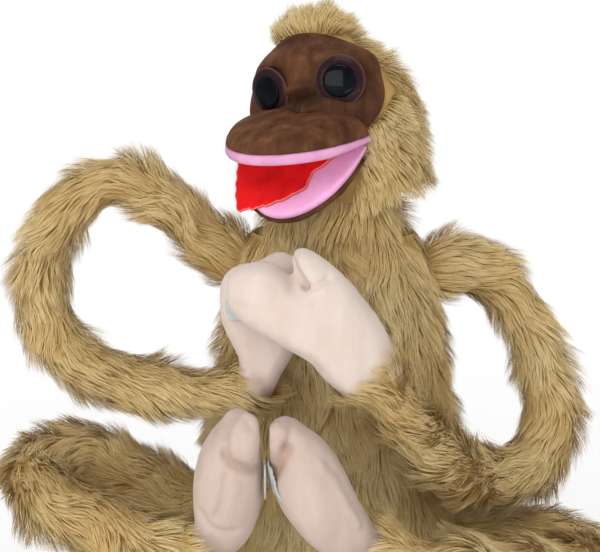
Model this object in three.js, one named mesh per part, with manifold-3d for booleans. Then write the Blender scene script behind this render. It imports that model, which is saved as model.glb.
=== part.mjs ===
// Plush monkey hand puppet, seated with its hands clasped and its soles together.
// Millimetres, +Z up, the puppet's front towards -Y, origin at the middle of the seat.
// "Right" and "left" are the puppet's own sides, so its right is towards -X.
import * as THREE from 'three';
import { mergeVertices } from 'three/addons/utils/BufferGeometryUtils.js';
import Module from 'manifold-3d';

const kernel = await Module();
kernel.setup();

// Gaps
const seamGap = 0.3;
const pressGap = 0.6;

// Body: rows of [height, half width, half depth, shift to the back]
const bodyRows = [
  [0, 84, 60, -4],
  [26, 104, 72, -4],
  [62, 113, 77, -6],
  [120, 112, 78, -6],
  [180, 103, 74, -4],
  [236, 96, 70, 0],
  [276, 88, 65, 0],
  [300, 78, 58, 0],
];
const bodyWall = 12;
const baseThickness = 9;
const panelSeamY = 10;

// Hand sleeve: rows of [x, y, z, half width, half depth], from behind the back opening up to the neck
const sleeveRows = [
  [0, 120, 96, 44, 44],
  [0, 62, 118, 43, 43],
  [0, 20, 158, 42, 42],
  [0, 0, 214, 40, 40],
  [0, 0, 262, 37, 37],
  [0, 0, 310, 35, 35],
];
const liningThickness = 1.6;

// Neck: a padded ball with a bore, half sunk in the head
const neckX = 4;
const neckY = -2;
const neckZ = 322;
const neckRadius = 57;
const neckTop = 342;
const neckBore = 33;
const neckGap = 0.8;

// Head: rows of [height above the middle, half width, half depth, shift to the back]
const headRows = [
  [-72, 67, 64, 8],
  [-44, 70, 68, 6],
  [-8, 71, 70, 5],
  [22, 68, 68, 5],
  [46, 58, 58, 6],
  [64, 42, 43, 6],
  [76, 22, 23, 6],
];
const headCapHeight = 4;
const headX = 3;
const headY = -6;
const headZ = 402;
const headYaw = -36;
const headRoll = -9;
const headPitch = 6;
const hoodWall = 11;

// Face panel
const faceHalfWidth = 62;
const faceHalfHeight = 47;
const faceCentreHeight = 19;
const faceInset = 4;

// Mouth: its middle on the line through its corners, and how it is turned on the head
const mouthX = -3;
const mouthBackY = -48;
const palateHeight = -10.5;
const mouthYaw = 4;
const mouthRoll = 8;
const mouthPitch = 3;
const mouthHalfWidth = 60;
const mouthReach = 72;
const muzzleHeight = 21;
const lipRoundness = 0.75;
const boardThickness = 3;
const boardInset = 4;
const palateLiningThickness = 6;
const jawLiningThickness = 4;
const jawOpenAngle = 38;
const jawHalfWidth = 56;
const jawReach = 67;
const jawPadDepth = 14;
const jawBackAngle = 56;
const jawSpareAngle = 5;
const jawBackEdge = 0.2;
const throatDepth = 9;
const tongueHalfWidth = 42;
const tongueShift = -16;
const tongueBack = 17;
const tongueLength = 60;
const tongueThickness = 1.6;
const tongueWave = 1.4;
const tongueWaves = 7;
const tongueRootShare = 0.25;
const fingerPocketHalf = [42, 32, 22];
const fingerPocketPlace = [0, -20, -22];

// Eyes
const eyeHalfSpacing = 31;
const eyeMiddleX = 6;
const eyeHeight = 26;
const eyeYawOut = 22;
const eyeRimRadius = 20.5;
const eyeRimDepth = 5;
const eyeBedDepth = 1;
const eyePupilRadius = 14.5;
const eyePupilDepth = 5;
const eyeShankRadius = 3;
const eyeShankLength = 20;
const eyeWasherRadius = 10;
const eyeWasherThickness = 1.6;
const eyeWasherPlace = 10;
const eyeRimRadiusShares = { back: 0.6, front: 0.9 };
const eyeRimDepthShares = { back: 0.2, middle: 0.5 };
const eyePupilRadiusShare = 0.7;
const eyePupilDepthShares = { edge: 0.3, shoulder: 0.8 };

// Limbs: rows of [x, y, z, half width, half depth], from inside the body to the tip
const rightArmRows = [
  [-56, 0, 252, 27, 27],
  [-104, 0, 284, 27, 27],
  [-138, 0, 320, 27, 27],
  [-178, -5, 342, 28, 28],
  [-218, -10, 325, 28, 28],
  [-241, -14, 282, 29, 29],
  [-243, -20, 236, 30, 30],
  [-219, -34, 200, 30, 30],
  [-182, -52, 184, 30, 30],
  [-126, -76, 181, 28, 28],
  [-72, -95, 190, 21, 19],
  [-57, -100, 216, 29, 17],
  [-65, -101, 245, 31, 17],
  [-74, -101, 266, 25, 14],
];
const leftArmRows = [
  [56, 0, 244, 27, 27],
  [104, 0, 264, 27, 27],
  [134, -1, 257, 27, 27],
  [160, -2, 229, 28, 28],
  [178, -5, 191, 29, 29],
  [188, -10, 148, 31, 31],
  [179, -26, 113, 32, 32],
  [142, -54, 99, 32, 32],
  [100, -84, 116, 32, 32],
  [62, -112, 160, 29, 29],
  [32, -129, 202, 23, 19],
  [2, -133, 230, 33, 18],
  [-34, -134, 252, 36, 19],
  [-66, -134, 270, 28, 15],
];
const rightLegRows = [
  [-50, 0, 48, 35, 35],
  [-128, -8, 58, 36, 36],
  [-170, -16, 83, 37, 37],
  [-214, -24, 106, 36, 36],
  [-246, -58, 106, 34, 34],
  [-226, -98, 94, 33, 33],
  [-188, -120, 84, 33, 33],
  [-142, -144, 76, 31, 31],
  [-108, -154, 76, 27, 27],
  [-87, -155, 100, 27, 28],
  [-83, -154, 134, 28, 30],
  [-81, -153, 166, 24, 26],
];
const leftLegRows = [
  [50, 0, 36, 32, 32],
  [128, -12, 35, 33, 33],
  [170, -28, 34, 33, 33],
  [206, -54, 34, 33, 33],
  [206, -94, 38, 33, 33],
  [166, -126, 48, 33, 33],
  [108, -148, 60, 31, 31],
  [56, -157, 66, 26, 26],
  [24, -155, 82, 31, 28],
  [3, -154, 108, 36, 30],
  [-15, -153, 138, 36, 30],
  [-27, -152, 164, 27, 26],
];
const shoulderRow = 1;
const upperElbowRow = 4;
const lowerElbowRow = 7;
const wristRow = 10;
const hipRow = 1;
const kneeRow = 4;
const ankleRow = 8;
const leftAnkleRow = 7;

// Hinges of the limbs, outwards from the body, and the direction that each one turns about
const rightArmHinges = {
  shoulder: [0, 1, 0],
  upper_elbow: [0, 1, 0],
  lower_elbow: [0, 1, 0],
  wrist: [0, -1, 0],
};
const leftArmHinges = {
  shoulder: [0, 0, 1],
  elbow: [0, 0.4, 1],
  wrist: [1, 0, 0.8],
};
const rightLegHinges = {
  hip: [0, -1, -1],
  knee: [0, 0, -1],
  ankle: [0, -1, -0.8],
};
const leftLegHinges = {
  hip: [0, 0, 1],
  knee: [0, 0, 1],
  ankle: [0, 1, 0.8],
};

// Thumbs and big toes: rows of [x, y, z, half width, half depth]
const rightThumbRows = [
  [-50, -100, 232, 14, 13],
  [-38, -101, 262, 15, 13],
  [-32, -101, 282, 11, 10],
];
const leftThumbRows = [
  [-6, -133, 244, 16, 15],
  [-12, -134, 272, 16, 14],
  [-22, -134, 292, 11, 10],
];
const rightToeRows = [
  [-82, -158, 120, 14, 14],
  [-76, -172, 150, 14, 13],
  [-74, -174, 172, 11, 11],
];
const leftToeRows = [
  [-8, -152, 126, 14, 14],
  [-30, -164, 154, 13, 13],
  [-36, -164, 172, 10, 10],
];

// Hook and loop patches
const palmPlaneY = -117;
const solePlaneX = -53;
const patchThickness = 1.8;
const handPatchHalfWidth = 15;
const handPatchHalfHeight = 11;
const handPatchX = -70;
const handPatchZ = 261;
const solePatchHalfWidth = 12;
const solePatchHalfHeight = 14;
const solePatchY = -159;
const solePatchZ = 137;

// Fineness of the forms
const limbSides = 14;
const limbStepsPerRow = 1.5;
const bodySides = 28;
const headSides = 26;
const ballSides = 32;
const ballRows = 20;
const boreSides = 24;
const roundSteps = 3;
const roundEndShare = 0.9;
const lipSteps = 6;
const lipPoints = 20;
const faceOvalPoints = 28;
const tonguePoints = 30;
const eyeSides = { rim: 24, shank: 12, pupil: 20, washer: 16 };
const weldDistance = 1e-5;
const far = 600;

const { cos, sin, PI } = Math;
const radians = THREE.MathUtils.degToRad;
const point = (x, y, z) => new THREE.Vector3(x, y, z);
const frontToBack = point(0, 1, 0);
const upwards = point(0, 0, 1);

// Turns a closed three.js geometry into a solid that can be joined and cut
function solidOf(geometry) {
  const bare = geometry.clone();
  bare.deleteAttribute('normal');
  bare.deleteAttribute('uv');
  const merged = mergeVertices(bare, weldDistance);
  return new kernel.Manifold(new kernel.Mesh({
    numProp: 3,
    vertProperties: new Float32Array(merged.attributes.position.array),
    triVerts: new Uint32Array(merged.index.array),
  }));
}

function geometryOf(solid) {
  const mesh = solid.getMesh();
  const geometry = new THREE.BufferGeometry();
  const places = new Float32Array(mesh.vertProperties);
  geometry.setAttribute('position', new THREE.BufferAttribute(places, 3));
  geometry.setIndex(new THREE.BufferAttribute(new Uint32Array(mesh.triVerts), 1));
  geometry.computeVertexNormals();
  return geometry;
}

// Skins a closed solid over rings of points; a ring is { at, side, depth, half, deep, along }
function skin(rings, sides) {
  const places = [];
  for (const ring of rings) {
    for (let i = 0; i < sides; i += 1) {
      const turn = (2 * PI * i) / sides;
      const p = ring.at.clone();
      p.addScaledVector(ring.side, ring.half * cos(turn));
      p.addScaledVector(ring.depth, ring.deep * sin(turn));
      places.push(p.x, p.y, p.z);
    }
  }
  const first = rings[0].at;
  const last = rings[rings.length - 1].at;
  places.push(first.x, first.y, first.z, last.x, last.y, last.z);
  const startPole = rings.length * sides;
  const endPole = startPole + 1;
  const faces = [];
  for (let i = 0; i < sides; i += 1) {
    const j = (i + 1) % sides;
    faces.push(startPole, j, i);
    const top = (rings.length - 1) * sides;
    faces.push(endPole, top + i, top + j);
    for (let k = 0; k < rings.length - 1; k += 1) {
      const a = k * sides;
      const b = a + sides;
      faces.push(a + i, a + j, b + j, a + i, b + j, b + i);
    }
  }
  const geometry = new THREE.BufferGeometry();
  geometry.setAttribute('position', new THREE.Float32BufferAttribute(places, 3));
  geometry.setIndex(faces);
  return geometry;
}

// Half-round rings that close an end, from the rim outwards
function roundEnd(ring, outward) {
  const rings = [];
  const reach = Math.min(ring.half, ring.deep);
  for (let k = 1; k <= roundSteps; k += 1) {
    const turn = (k / roundSteps) * roundEndShare * (PI / 2);
    rings.push({
      ...ring,
      at: ring.at.clone().addScaledVector(outward, reach * sin(turn)),
      half: ring.half * cos(turn),
      deep: ring.deep * cos(turn),
    });
  }
  return rings;
}

// The smooth line and section of a limb, read off at any row number.
// The sections of an upright limb stand in planes that hold the Y axis, so it can hinge about Y.
function limbLine(rows, upright = false) {
  const places = rows.map(([x, y, z]) => point(x, y, z));
  const curve = new THREE.CatmullRomCurve3(places, false, 'centripetal');
  const spans = rows.length - 1;
  const blend = (row, column) => {
    const low = Math.min(Math.floor(row), spans - 1);
    const share = THREE.MathUtils.smoothstep(row - low, 0, 1);
    return THREE.MathUtils.lerp(rows[low][column], rows[low + 1][column], share);
  };
  return (row, grow = 0) => {
    const along = curve.getTangent(row / spans);
    const level = Math.sqrt(1 - along.y ** 2);
    const depth = frontToBack.clone();
    if (upright) along.setY(0).normalize();
    else depth.addScaledVector(along, -along.y).normalize();
    return {
      at: curve.getPoint(row / spans),
      along,
      depth,
      side: depth.clone().cross(along),
      half: blend(row, 3) + grow,
      deep: (blend(row, 4) + grow) / (upright ? level : 1),
    };
  };
}

// One stretch of a limb between two rows, with flat or rounded ends
function stretch(rows, from, to, { grow = 0, roundTip = false, trim = 0, upright = false } = {}) {
  const line = limbLine(rows, upright);
  const steps = Math.max(2, Math.round((to - from) * limbStepsPerRow));
  const rings = [];
  for (let k = 0; k <= steps; k += 1) rings.push(line(from + ((to - from) * k) / steps, grow));
  const start = rings[0];
  const end = rings[rings.length - 1];
  start.at.addScaledVector(start.along, trim / 2);
  if (!roundTip) end.at.addScaledVector(end.along, -trim / 2);
  if (roundTip) rings.push(...roundEnd(end, end.along));
  return solidOf(skin(rings, limbSides));
}

// A seam hinge: the edge of a limb's seam ring about which the outer stretch turns
function seamHinge(rows, row, wantedAxis, upright) {
  const ring = limbLine(rows, upright)(row);
  const axis = wantedAxis.clone().addScaledVector(ring.along, -ring.along.dot(wantedAxis)).normalize();
  const edge = axis.clone().cross(ring.along);
  const reach = Math.hypot(ring.half * edge.dot(ring.side), ring.deep * edge.dot(ring.depth));
  return { at: ring.at.addScaledVector(edge, reach).toArray(), axis: axis.toArray() };
}

// A form skinned over level rows, such as the body or the head, with its wall taken off
function levelForm(rows, sides, inset = 0, capHeight = 0) {
  const rings = rows.map(([height, half, deep, back]) => ({
    at: point(0, back, height),
    side: point(1, 0, 0),
    depth: point(0, 1, 0),
    half: half - inset,
    deep: deep - inset,
  }));
  const end = rings[rings.length - 1];
  if (capHeight > 0) {
    for (const ring of rings) if (ring.at.z > 0) ring.at.z -= inset * (ring.at.z / end.at.z);
    const capTop = end.at.clone().setZ(end.at.z + capHeight);
    rings.push({ ...end, at: capTop, half: end.half / 2, deep: end.deep / 2 });
  }
  return solidOf(skin(rings, sides));
}

function block(low, high) {
  const size = high.clone().sub(low);
  const geometry = new THREE.BoxGeometry(size.x, size.y, size.z);
  const middle = low.clone().add(high).multiplyScalar(0.5);
  return solidOf(geometry.translate(middle.x, middle.y, middle.z));
}

function ball(centre, radius) {
  const geometry = new THREE.SphereGeometry(radius, ballSides, ballRows).rotateX(PI / 2);
  return solidOf(geometry.translate(centre.x, centre.y, centre.z));
}

// A straight prism over an outline in the XY plane
function prism(outline, low, high) {
  const shape = new THREE.Shape(outline);
  const geometry = new THREE.ExtrudeGeometry(shape, { depth: high - low, bevelEnabled: false, steps: 1 });
  return geometry.translate(0, 0, low);
}

function cut(solid, ...cutters) {
  return cutters.reduce((left, cutter) => left.subtract(cutter), solid);
}

// Half spaces to cut with
const above = (height) => block(point(-far, -far, height), point(far, far, far));
const below = (height) => block(point(-far, -far, -far), point(far, far, height));
const behind = (y) => block(point(-far, y, -far), point(far, far, far));
const before = (y) => block(point(-far, -far, -far), point(far, y, far));
const rightOf = (x) => block(point(-far, -far, -far), point(x, far, far));
const leftOf = (x) => block(point(x, -far, -far), point(far, far, far));

// Looks of the materials
const looks = {
  fur: [0xc3a36a, 0.95],
  stuffing: [0xe9e6df, 1],
  lining: [0xb9a988, 0.95],
  facePlush: [0x5a3424, 0.85],
  pinkCloth: [0xeaa4cf, 0.8],
  tongueFelt: [0xd31a1c, 0.95],
  skinPlush: [0xe9d3c6, 0.85],
  board: [0x9b8a70, 0.8],
  eyeRim: [0x4a2a26, 0.2],
  eyePupil: [0x08090b, 0.12],
  washer: [0xdcdcd8, 0.5],
  hookTape: [0xc9ced0, 0.8],
};

const puppet = new THREE.Group();
puppet.name = 'monkey_puppet';
puppet.userData.hinges = {};

function addPiece(name, solid, look) {
  const [color, roughness] = looks[look];
  const material = new THREE.MeshStandardMaterial({ color, roughness, metalness: 0 });
  material.name = look;
  const mesh = new THREE.Mesh(geometryOf(solid), material);
  mesh.name = name;
  puppet.add(mesh);
}

// Body: outer fur panels, stuffing and the lined sleeve for the hand
function addBody() {
  const stubs = [
    stretch(rightArmRows, 0, shoulderRow, { trim: seamGap }),
    stretch(leftArmRows, 0, shoulderRow, { trim: seamGap }),
    stretch(rightLegRows, 0, hipRow, { trim: seamGap }),
    stretch(leftLegRows, 0, hipRow, { trim: seamGap }),
  ];
  const outer = levelForm(bodyRows, bodySides);
  const inner = levelForm(bodyRows, bodySides, bodyWall).subtract(below(baseThickness));
  const sleeve = stretch(sleeveRows, 0, sleeveRows.length - 1, { grow: seamGap });
  const sleeveOuter = stretch(sleeveRows, 0, sleeveRows.length - 1);
  const sleeveInner = stretch(sleeveRows, 0, sleeveRows.length - 1, { grow: -liningThickness });
  const topZ = bodyRows[bodyRows.length - 1][0];
  const shell = stubs.reduce((all, stub) => all.add(stub), outer).subtract(inner).subtract(sleeve);
  const walls = shell.intersect(above(baseThickness + seamGap));
  const half = seamGap / 2;
  addPiece('body_base', shell.intersect(below(baseThickness)), 'fur');
  addPiece('body_front', walls.intersect(before(panelSeamY - half)), 'fur');
  const back = walls.intersect(behind(panelSeamY + half));
  addPiece('body_back_right', back.intersect(rightOf(-half)), 'fur');
  addPiece('body_back_left', back.intersect(leftOf(half)), 'fur');
  const stuffing = levelForm(bodyRows, bodySides, bodyWall + seamGap);
  const kept = stuffing.subtract(below(baseThickness + seamGap)).subtract(sleeve);
  addPiece('body_stuffing', kept.intersect(below(topZ - bodyWall)), 'stuffing');
  const lining = sleeveOuter.subtract(sleeveInner).intersect(levelForm(bodyRows, bodySides));
  addPiece('hand_sleeve_lining', lining, 'lining');
}

// Neck: the padded ball on which the head turns and nods
function addNeck() {
  const centre = point(neckX, neckY, neckZ);
  const topZ = bodyRows[bodyRows.length - 1][0];
  const bore = solidOf(new THREE.CylinderGeometry(neckBore, neckBore, 2 * far, boreSides).rotateX(PI / 2));
  const zone = ball(centre, neckRadius).intersect(above(topZ + seamGap)).intersect(below(neckTop));
  addPiece('neck_roll', zone.subtract(bore), 'fur');
  puppet.userData.hinges.neck_turn = { at: centre.toArray(), axis: [0, 0, 1] };
}

// The upper lip: a stuffed half lens, flat underneath
function lipForm(halfWidth, reach, height, grow = 0) {
  const rings = [];
  for (let k = 0; k < lipSteps; k += 1) {
    const turn = (k / lipSteps) * (PI / 2);
    rings.push({
      at: point(0, 0, (height + grow) * sin(turn)),
      side: point(1, 0, 0),
      depth: point(0, 1, 0),
      half: (halfWidth + grow) * cos(turn) ** lipRoundness,
      deep: (reach + grow) * cos(turn) ** lipRoundness,
    });
  }
  return solidOf(skin(rings, headSides)).intersect(before(grow));
}

// Moves a solid by a matrix
function moved(solid, matrix) {
  return solidOf(geometryOf(solid).applyMatrix4(matrix));
}

// The head's own frame: its middle is the origin and its front is -Y
const headTurn = new THREE.Euler(radians(headPitch), radians(headRoll), radians(headYaw), 'ZYX');
const headMatrix = new THREE.Matrix4().makeRotationFromEuler(headTurn).setPosition(headX, headY, headZ);
const inHead = (solid) => moved(solid, headMatrix);

// The mouth's own frame lies on the underside of the muzzle, and the jaw's frame on its hinge
const mouthTurn = new THREE.Euler(radians(mouthPitch), radians(mouthRoll), radians(mouthYaw), 'ZYX');
const mouthMatrix = new THREE.Matrix4().makeRotationFromEuler(mouthTurn);
mouthMatrix.setPosition(mouthX, mouthBackY, palateHeight);
const inMouth = (solid) => inHead(moved(solid, mouthMatrix));
const hingeHeight = -boardThickness - palateLiningThickness - 3 * seamGap;
const jawMatrix = (open) => mouthMatrix.clone()
  .multiply(new THREE.Matrix4().makeTranslation(0, 0, hingeHeight))
  .multiply(new THREE.Matrix4().makeRotationX(radians(open)));
const inJaw = (solid) => inHead(moved(solid, jawMatrix(jawOpenAngle)));

// How far in front of the head's middle the face panel lies, at a place on it
function faceDepthAt(x, height) {
  const upper = headRows.findIndex((row) => row[0] > height);
  const [lowZ, lowHalf, lowDeep, lowBack] = headRows[upper - 1];
  const [highZ, highHalf, highDeep, highBack] = headRows[upper];
  const share = (height - lowZ) / (highZ - lowZ);
  const half = THREE.MathUtils.lerp(lowHalf, highHalf, share) - faceInset;
  const deep = THREE.MathUtils.lerp(lowDeep, highDeep, share) - faceInset;
  const back = THREE.MathUtils.lerp(lowBack, highBack, share);
  return deep * Math.sqrt(1 - (x / half) ** 2) - back;
}

// A round piece of an eye, turned from rows of [radius, distance in front of the face]
function eyeTurned(side, rows, sides) {
  const profile = rows.map(([radius, front]) => new THREE.Vector2(radius, -front)).reverse();
  const geometry = new THREE.LatheGeometry(profile, sides);
  const turn = new THREE.Matrix4().makeRotationZ(radians(side * eyeYawOut));
  const x = eyeMiddleX + side * eyeHalfSpacing;
  turn.setPosition(x, -faceDepthAt(x, eyeHeight), eyeHeight);
  return solidOf(geometry.applyMatrix4(turn));
}

function eyeRim(side, grow = 0) {
  const flare = eyeRimRadius + grow;
  return eyeTurned(side, [
    [0, -eyeBedDepth - grow],
    [flare * eyeRimRadiusShares.back, -eyeBedDepth - grow],
    [flare, eyeRimDepth * eyeRimDepthShares.back - grow],
    [flare, eyeRimDepth * eyeRimDepthShares.middle],
    [flare * eyeRimRadiusShares.front, eyeRimDepth + grow],
    [0, eyeRimDepth + grow],
  ], eyeSides.rim);
}

function eyeShank(side, grow = 0) {
  const radius = eyeShankRadius + grow;
  return eyeTurned(side, [
    [0, -eyeShankLength - grow],
    [radius, -eyeShankLength - grow],
    [radius, 0],
    [0, 0],
  ], eyeSides.shank);
}

function eyePupil(side) {
  const front = eyeRimDepth + seamGap;
  return eyeTurned(side, [
    [0, front],
    [eyePupilRadius, front],
    [eyePupilRadius, front + eyePupilDepth * eyePupilDepthShares.edge],
    [eyePupilRadius * eyePupilRadiusShare, front + eyePupilDepth * eyePupilDepthShares.shoulder],
    [0, front + eyePupilDepth],
  ], eyeSides.pupil);
}

function eyeWasher(side, grow = 0) {
  const back = -eyeWasherPlace - eyeWasherThickness - grow;
  const radius = eyeWasherRadius + grow;
  return eyeTurned(side, [
    [0, back],
    [radius, back],
    [radius, -eyeWasherPlace + grow],
    [0, -eyeWasherPlace + grow],
  ], eyeSides.washer);
}

// The room that the muzzle leaves for an eye
function eyeRoom(side) {
  const back = -eyeBedDepth - seamGap;
  const front = eyeRimDepth + eyePupilDepth + 2 * seamGap;
  const radius = eyeRimRadius + seamGap;
  return eyeTurned(side, [[0, back], [radius, back], [radius, front], [0, front]], eyeSides.rim);
}

// The head's inner form, lengthened below the hood's rim so that the hood stays open there
function headInner(inset) {
  const [lowest, ...sizes] = headRows[0];
  return levelForm([[lowest - hoodWall, ...sizes], ...headRows], headSides, inset, headCapHeight);
}

// A level slab with the lips' half-oval outline
function lipSlab(halfWidth, reach, back, low, high) {
  const outline = [];
  for (let k = 0; k <= lipPoints; k += 1) {
    const turn = (PI * k) / lipPoints;
    outline.push(new THREE.Vector2(-halfWidth * cos(turn), -back - (reach - back) * sin(turn)));
  }
  return solidOf(prism(outline, low, high));
}

function addHead() {
  const centre = point(neckX, neckY, neckZ);
  const neckRoom = ball(centre, neckRadius + neckGap);
  const faceForm = levelForm(headRows, headSides, faceInset, headCapHeight);
  const muzzleRoom = lipForm(mouthHalfWidth, mouthReach, muzzleHeight, seamGap);
  const mouthTop = point(far, 2 * seamGap, seamGap);
  const mouthRoom = block(point(-far, -far, hingeHeight - seamGap), mouthTop);
  const throatRoom = block(point(-far, -far, -far), point(far, throatDepth, hingeHeight));
  const faceOval = (grow) => {
    const curve = new THREE.EllipseCurve(0, 0, faceHalfWidth + grow, faceHalfHeight + grow, 0, 2 * PI);
    const outline = curve.getPoints(faceOvalPoints).slice(0, -1);
    return solidOf(prism(outline, 0, far).rotateX(PI / 2).translate(0, 0, faceCentreHeight));
  };
  const lipRooms = [muzzleRoom, mouthRoom, throatRoom].map((room) => moved(room, mouthMatrix));
  const eyeRooms = [-1, 1].flatMap((side) => [
    eyeRim(side, seamGap), eyeShank(side, seamGap), eyeWasher(side, seamGap),
  ]);
  const outer = levelForm(headRows, headSides, 0, headCapHeight);
  const hood = cut(outer, headInner(hoodWall), faceOval(seamGap), ...lipRooms);
  addPiece('head_hood', inHead(hood).subtract(neckRoom), 'fur');
  const face = cut(faceForm.intersect(faceOval(0)), headInner(hoodWall), ...lipRooms, ...eyeRooms);
  addPiece('face_panel', inHead(face).subtract(neckRoom), 'facePlush');
  const pocket = ball(point(0, 0, 0), 1);
  const pocketPlace = new THREE.Matrix4().makeTranslation(...fingerPocketPlace);
  pocketPlace.scale(point(...fingerPocketHalf));
  const fingerPocket = moved(pocket, pocketPlace);
  const stuffing = cut(headInner(hoodWall + seamGap), fingerPocket, ...lipRooms, ...eyeRooms);
  const halves = { right: rightOf(-seamGap / 2), left: leftOf(seamGap / 2) };
  for (const [side, halfSpace] of Object.entries(halves)) {
    const half = inHead(stuffing.intersect(halfSpace)).subtract(neckRoom);
    addPiece(`head_stuffing_${side}`, half, 'stuffing');
  }
  const sideways = point(1, 0, 0).applyAxisAngle(upwards, radians(headYaw));
  puppet.userData.hinges.head_nod = { at: centre.toArray(), axis: sideways.toArray() };
  addUpperMouth();
  addEyes();
}

function addUpperMouth() {
  const muzzle = moved(lipForm(mouthHalfWidth, mouthReach, muzzleHeight), mouthMatrix);
  addPiece('upper_muzzle', inHead(cut(muzzle, eyeRoom(-1), eyeRoom(1))), 'facePlush');
  const boardLow = -seamGap - boardThickness;
  const boardHalf = mouthHalfWidth - boardInset;
  const board = lipSlab(boardHalf, mouthReach - boardInset, 0, boardLow, -seamGap);
  addPiece('palate_board', inMouth(board), 'board');
  const liningTop = boardLow - seamGap;
  const liningReach = mouthReach - boardInset / 2;
  const lining = lipSlab(mouthHalfWidth, liningReach, 0, liningTop - palateLiningThickness, liningTop);
  addPiece('palate_lining', inMouth(lining), 'pinkCloth');
}

function addEyes() {
  for (const [name, side] of [['right', -1], ['left', 1]]) {
    const shank = eyeShank(side);
    addPiece(`${name}_eye_rim`, inHead(eyeRim(side).add(shank)), 'eyeRim');
    addPiece(`${name}_eye_pupil`, inHead(eyePupil(side)), 'eyePupil');
    const washer = eyeWasher(side).subtract(eyeShank(side, seamGap));
    addPiece(`${name}_eye_washer`, inHead(washer), 'washer');
  }
}

// The tongue: felt cut by hand, so its edge waves, and sewn in off the middle
function tongueOutline() {
  const outline = [];
  for (let k = 0; k <= tonguePoints; k += 1) {
    const turn = (PI * k) / tonguePoints;
    const wave = tongueWave * sin(tongueWaves * turn) * sin(turn);
    const x = -(tongueHalfWidth + wave) * cos(turn) * (1 - tongueRootShare * (1 - sin(turn)));
    const y = -tongueBack - (tongueLength - tongueBack + wave) * sin(turn);
    outline.push(new THREE.Vector2(tongueShift + x, y));
  }
  return outline;
}

// Lower jaw: pink lining and tongue over a board, with a padded brown chin below
function addJaw() {
  const liningTop = -seamGap;
  const lining = lipSlab(jawHalfWidth, jawReach, jawBackEdge, liningTop - jawLiningThickness, liningTop);
  addPiece('jaw_lining', inJaw(lining), 'pinkCloth');
  const boardTop = liningTop - jawLiningThickness - seamGap;
  const boardLow = boardTop - boardThickness;
  const boardHalf = jawHalfWidth - boardInset;
  const board = lipSlab(boardHalf, jawReach - boardInset, jawBackEdge, boardLow, boardTop);
  const turnedOver = new THREE.Matrix4().makeRotationY(PI);
  const under = moved(lipForm(jawHalfWidth, jawReach, jawPadDepth), turnedOver);
  const lowered = moved(under, new THREE.Matrix4().makeTranslation(0, -jawBackEdge, boardLow - seamGap));
  const backWedge = moved(behind(0), new THREE.Matrix4().makeRotationX(radians(jawBackAngle - 90)));
  const neckInJaw = [jawOpenAngle, jawOpenAngle + jawSpareAngle].map((open) => {
    const place = headMatrix.clone().multiply(jawMatrix(open)).invert();
    return moved(ball(point(neckX, neckY, neckZ), neckRadius + neckGap), place);
  });
  addPiece('jaw_board', inJaw(cut(board, ...neckInJaw)), 'board');
  const pad = cut(lowered, backWedge, ...neckInJaw);
  addPiece('jaw_pad', inJaw(pad), 'facePlush');
  addPiece('tongue', inJaw(solidOf(prism(tongueOutline(), 0, tongueThickness))), 'tongueFelt');
  const place = headMatrix.clone().multiply(jawMatrix(0));
  const at = point(0, 0, 0).applyMatrix4(place);
  const axis = point(1, 0, 0).transformDirection(place);
  puppet.userData.hinges.jaw_open = { at: at.toArray(), axis: axis.toArray() };
}

// Limbs: each is one sewn tube, split at its seams and bends
function addLimb(side, rows, seams, upright = false) {
  const tip = rows.length - 1;
  const names = Object.keys(seams);
  names.forEach((name, i) => {
    const from = seams[name];
    const to = seams[names[i + 1]] ?? tip;
    const options = { trim: seamGap, roundTip: to === tip, upright };
    limbPieces[`${side}_${name}`] = stretch(rows, from, to, options);
  });
}

function addHinges(side, rows, seams, axes, upright = false) {
  for (const [joint, axis] of Object.entries(axes)) {
    puppet.userData.hinges[`${side}_${joint}`] = seamHinge(rows, seams[joint], point(...axis), upright);
  }
}

const limbPieces = {};

function addArms() {
  const starts = {
    upper_arm: shoulderRow,
    middle_arm: upperElbowRow,
    forearm: lowerElbowRow,
    hand: wristRow,
  };
  const rightSeams = { shoulder: shoulderRow, upper_elbow: upperElbowRow, lower_elbow: lowerElbowRow };
  const leftSeams = { shoulder: shoulderRow, elbow: lowerElbowRow };
  addLimb('right', rightArmRows, starts, true);
  addHinges('right', rightArmRows, { ...rightSeams, wrist: wristRow }, rightArmHinges, true);
  addLimb('left', leftArmRows, starts);
  addHinges('left', leftArmRows, { ...leftSeams, wrist: wristRow }, leftArmHinges);
}

function addLegs() {
  const legSeams = { hip: hipRow, knee: kneeRow };
  addLimb('right', rightLegRows, { thigh: hipRow, shin: kneeRow, foot: ankleRow });
  addHinges('right', rightLegRows, { ...legSeams, ankle: ankleRow }, rightLegHinges);
  addLimb('left', leftLegRows, { thigh: hipRow, shin: kneeRow, foot: leftAnkleRow });
  addHinges('left', leftLegRows, { ...legSeams, ankle: leftAnkleRow }, leftLegHinges);
}

// Where soft pieces press together, the smaller one gives way to the larger
function clearLimbs() {
  const room = (rows, from, to) => stretch(rows, from, to, { grow: pressGap, trim: seamGap });
  const rightThigh = room(rightLegRows, hipRow, kneeRow);
  const leftThigh = room(leftLegRows, hipRow, kneeRow);
  const body = levelForm(bodyRows, bodySides, -pressGap);
  limbPieces.right_shin = limbPieces.right_shin.subtract(rightThigh);
  limbPieces.left_shin = limbPieces.left_shin.subtract(leftThigh);
  limbPieces.right_forearm = cut(limbPieces.right_forearm, body, rightThigh);
  limbPieces.left_forearm = cut(limbPieces.left_forearm, body, leftThigh);
}

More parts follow.
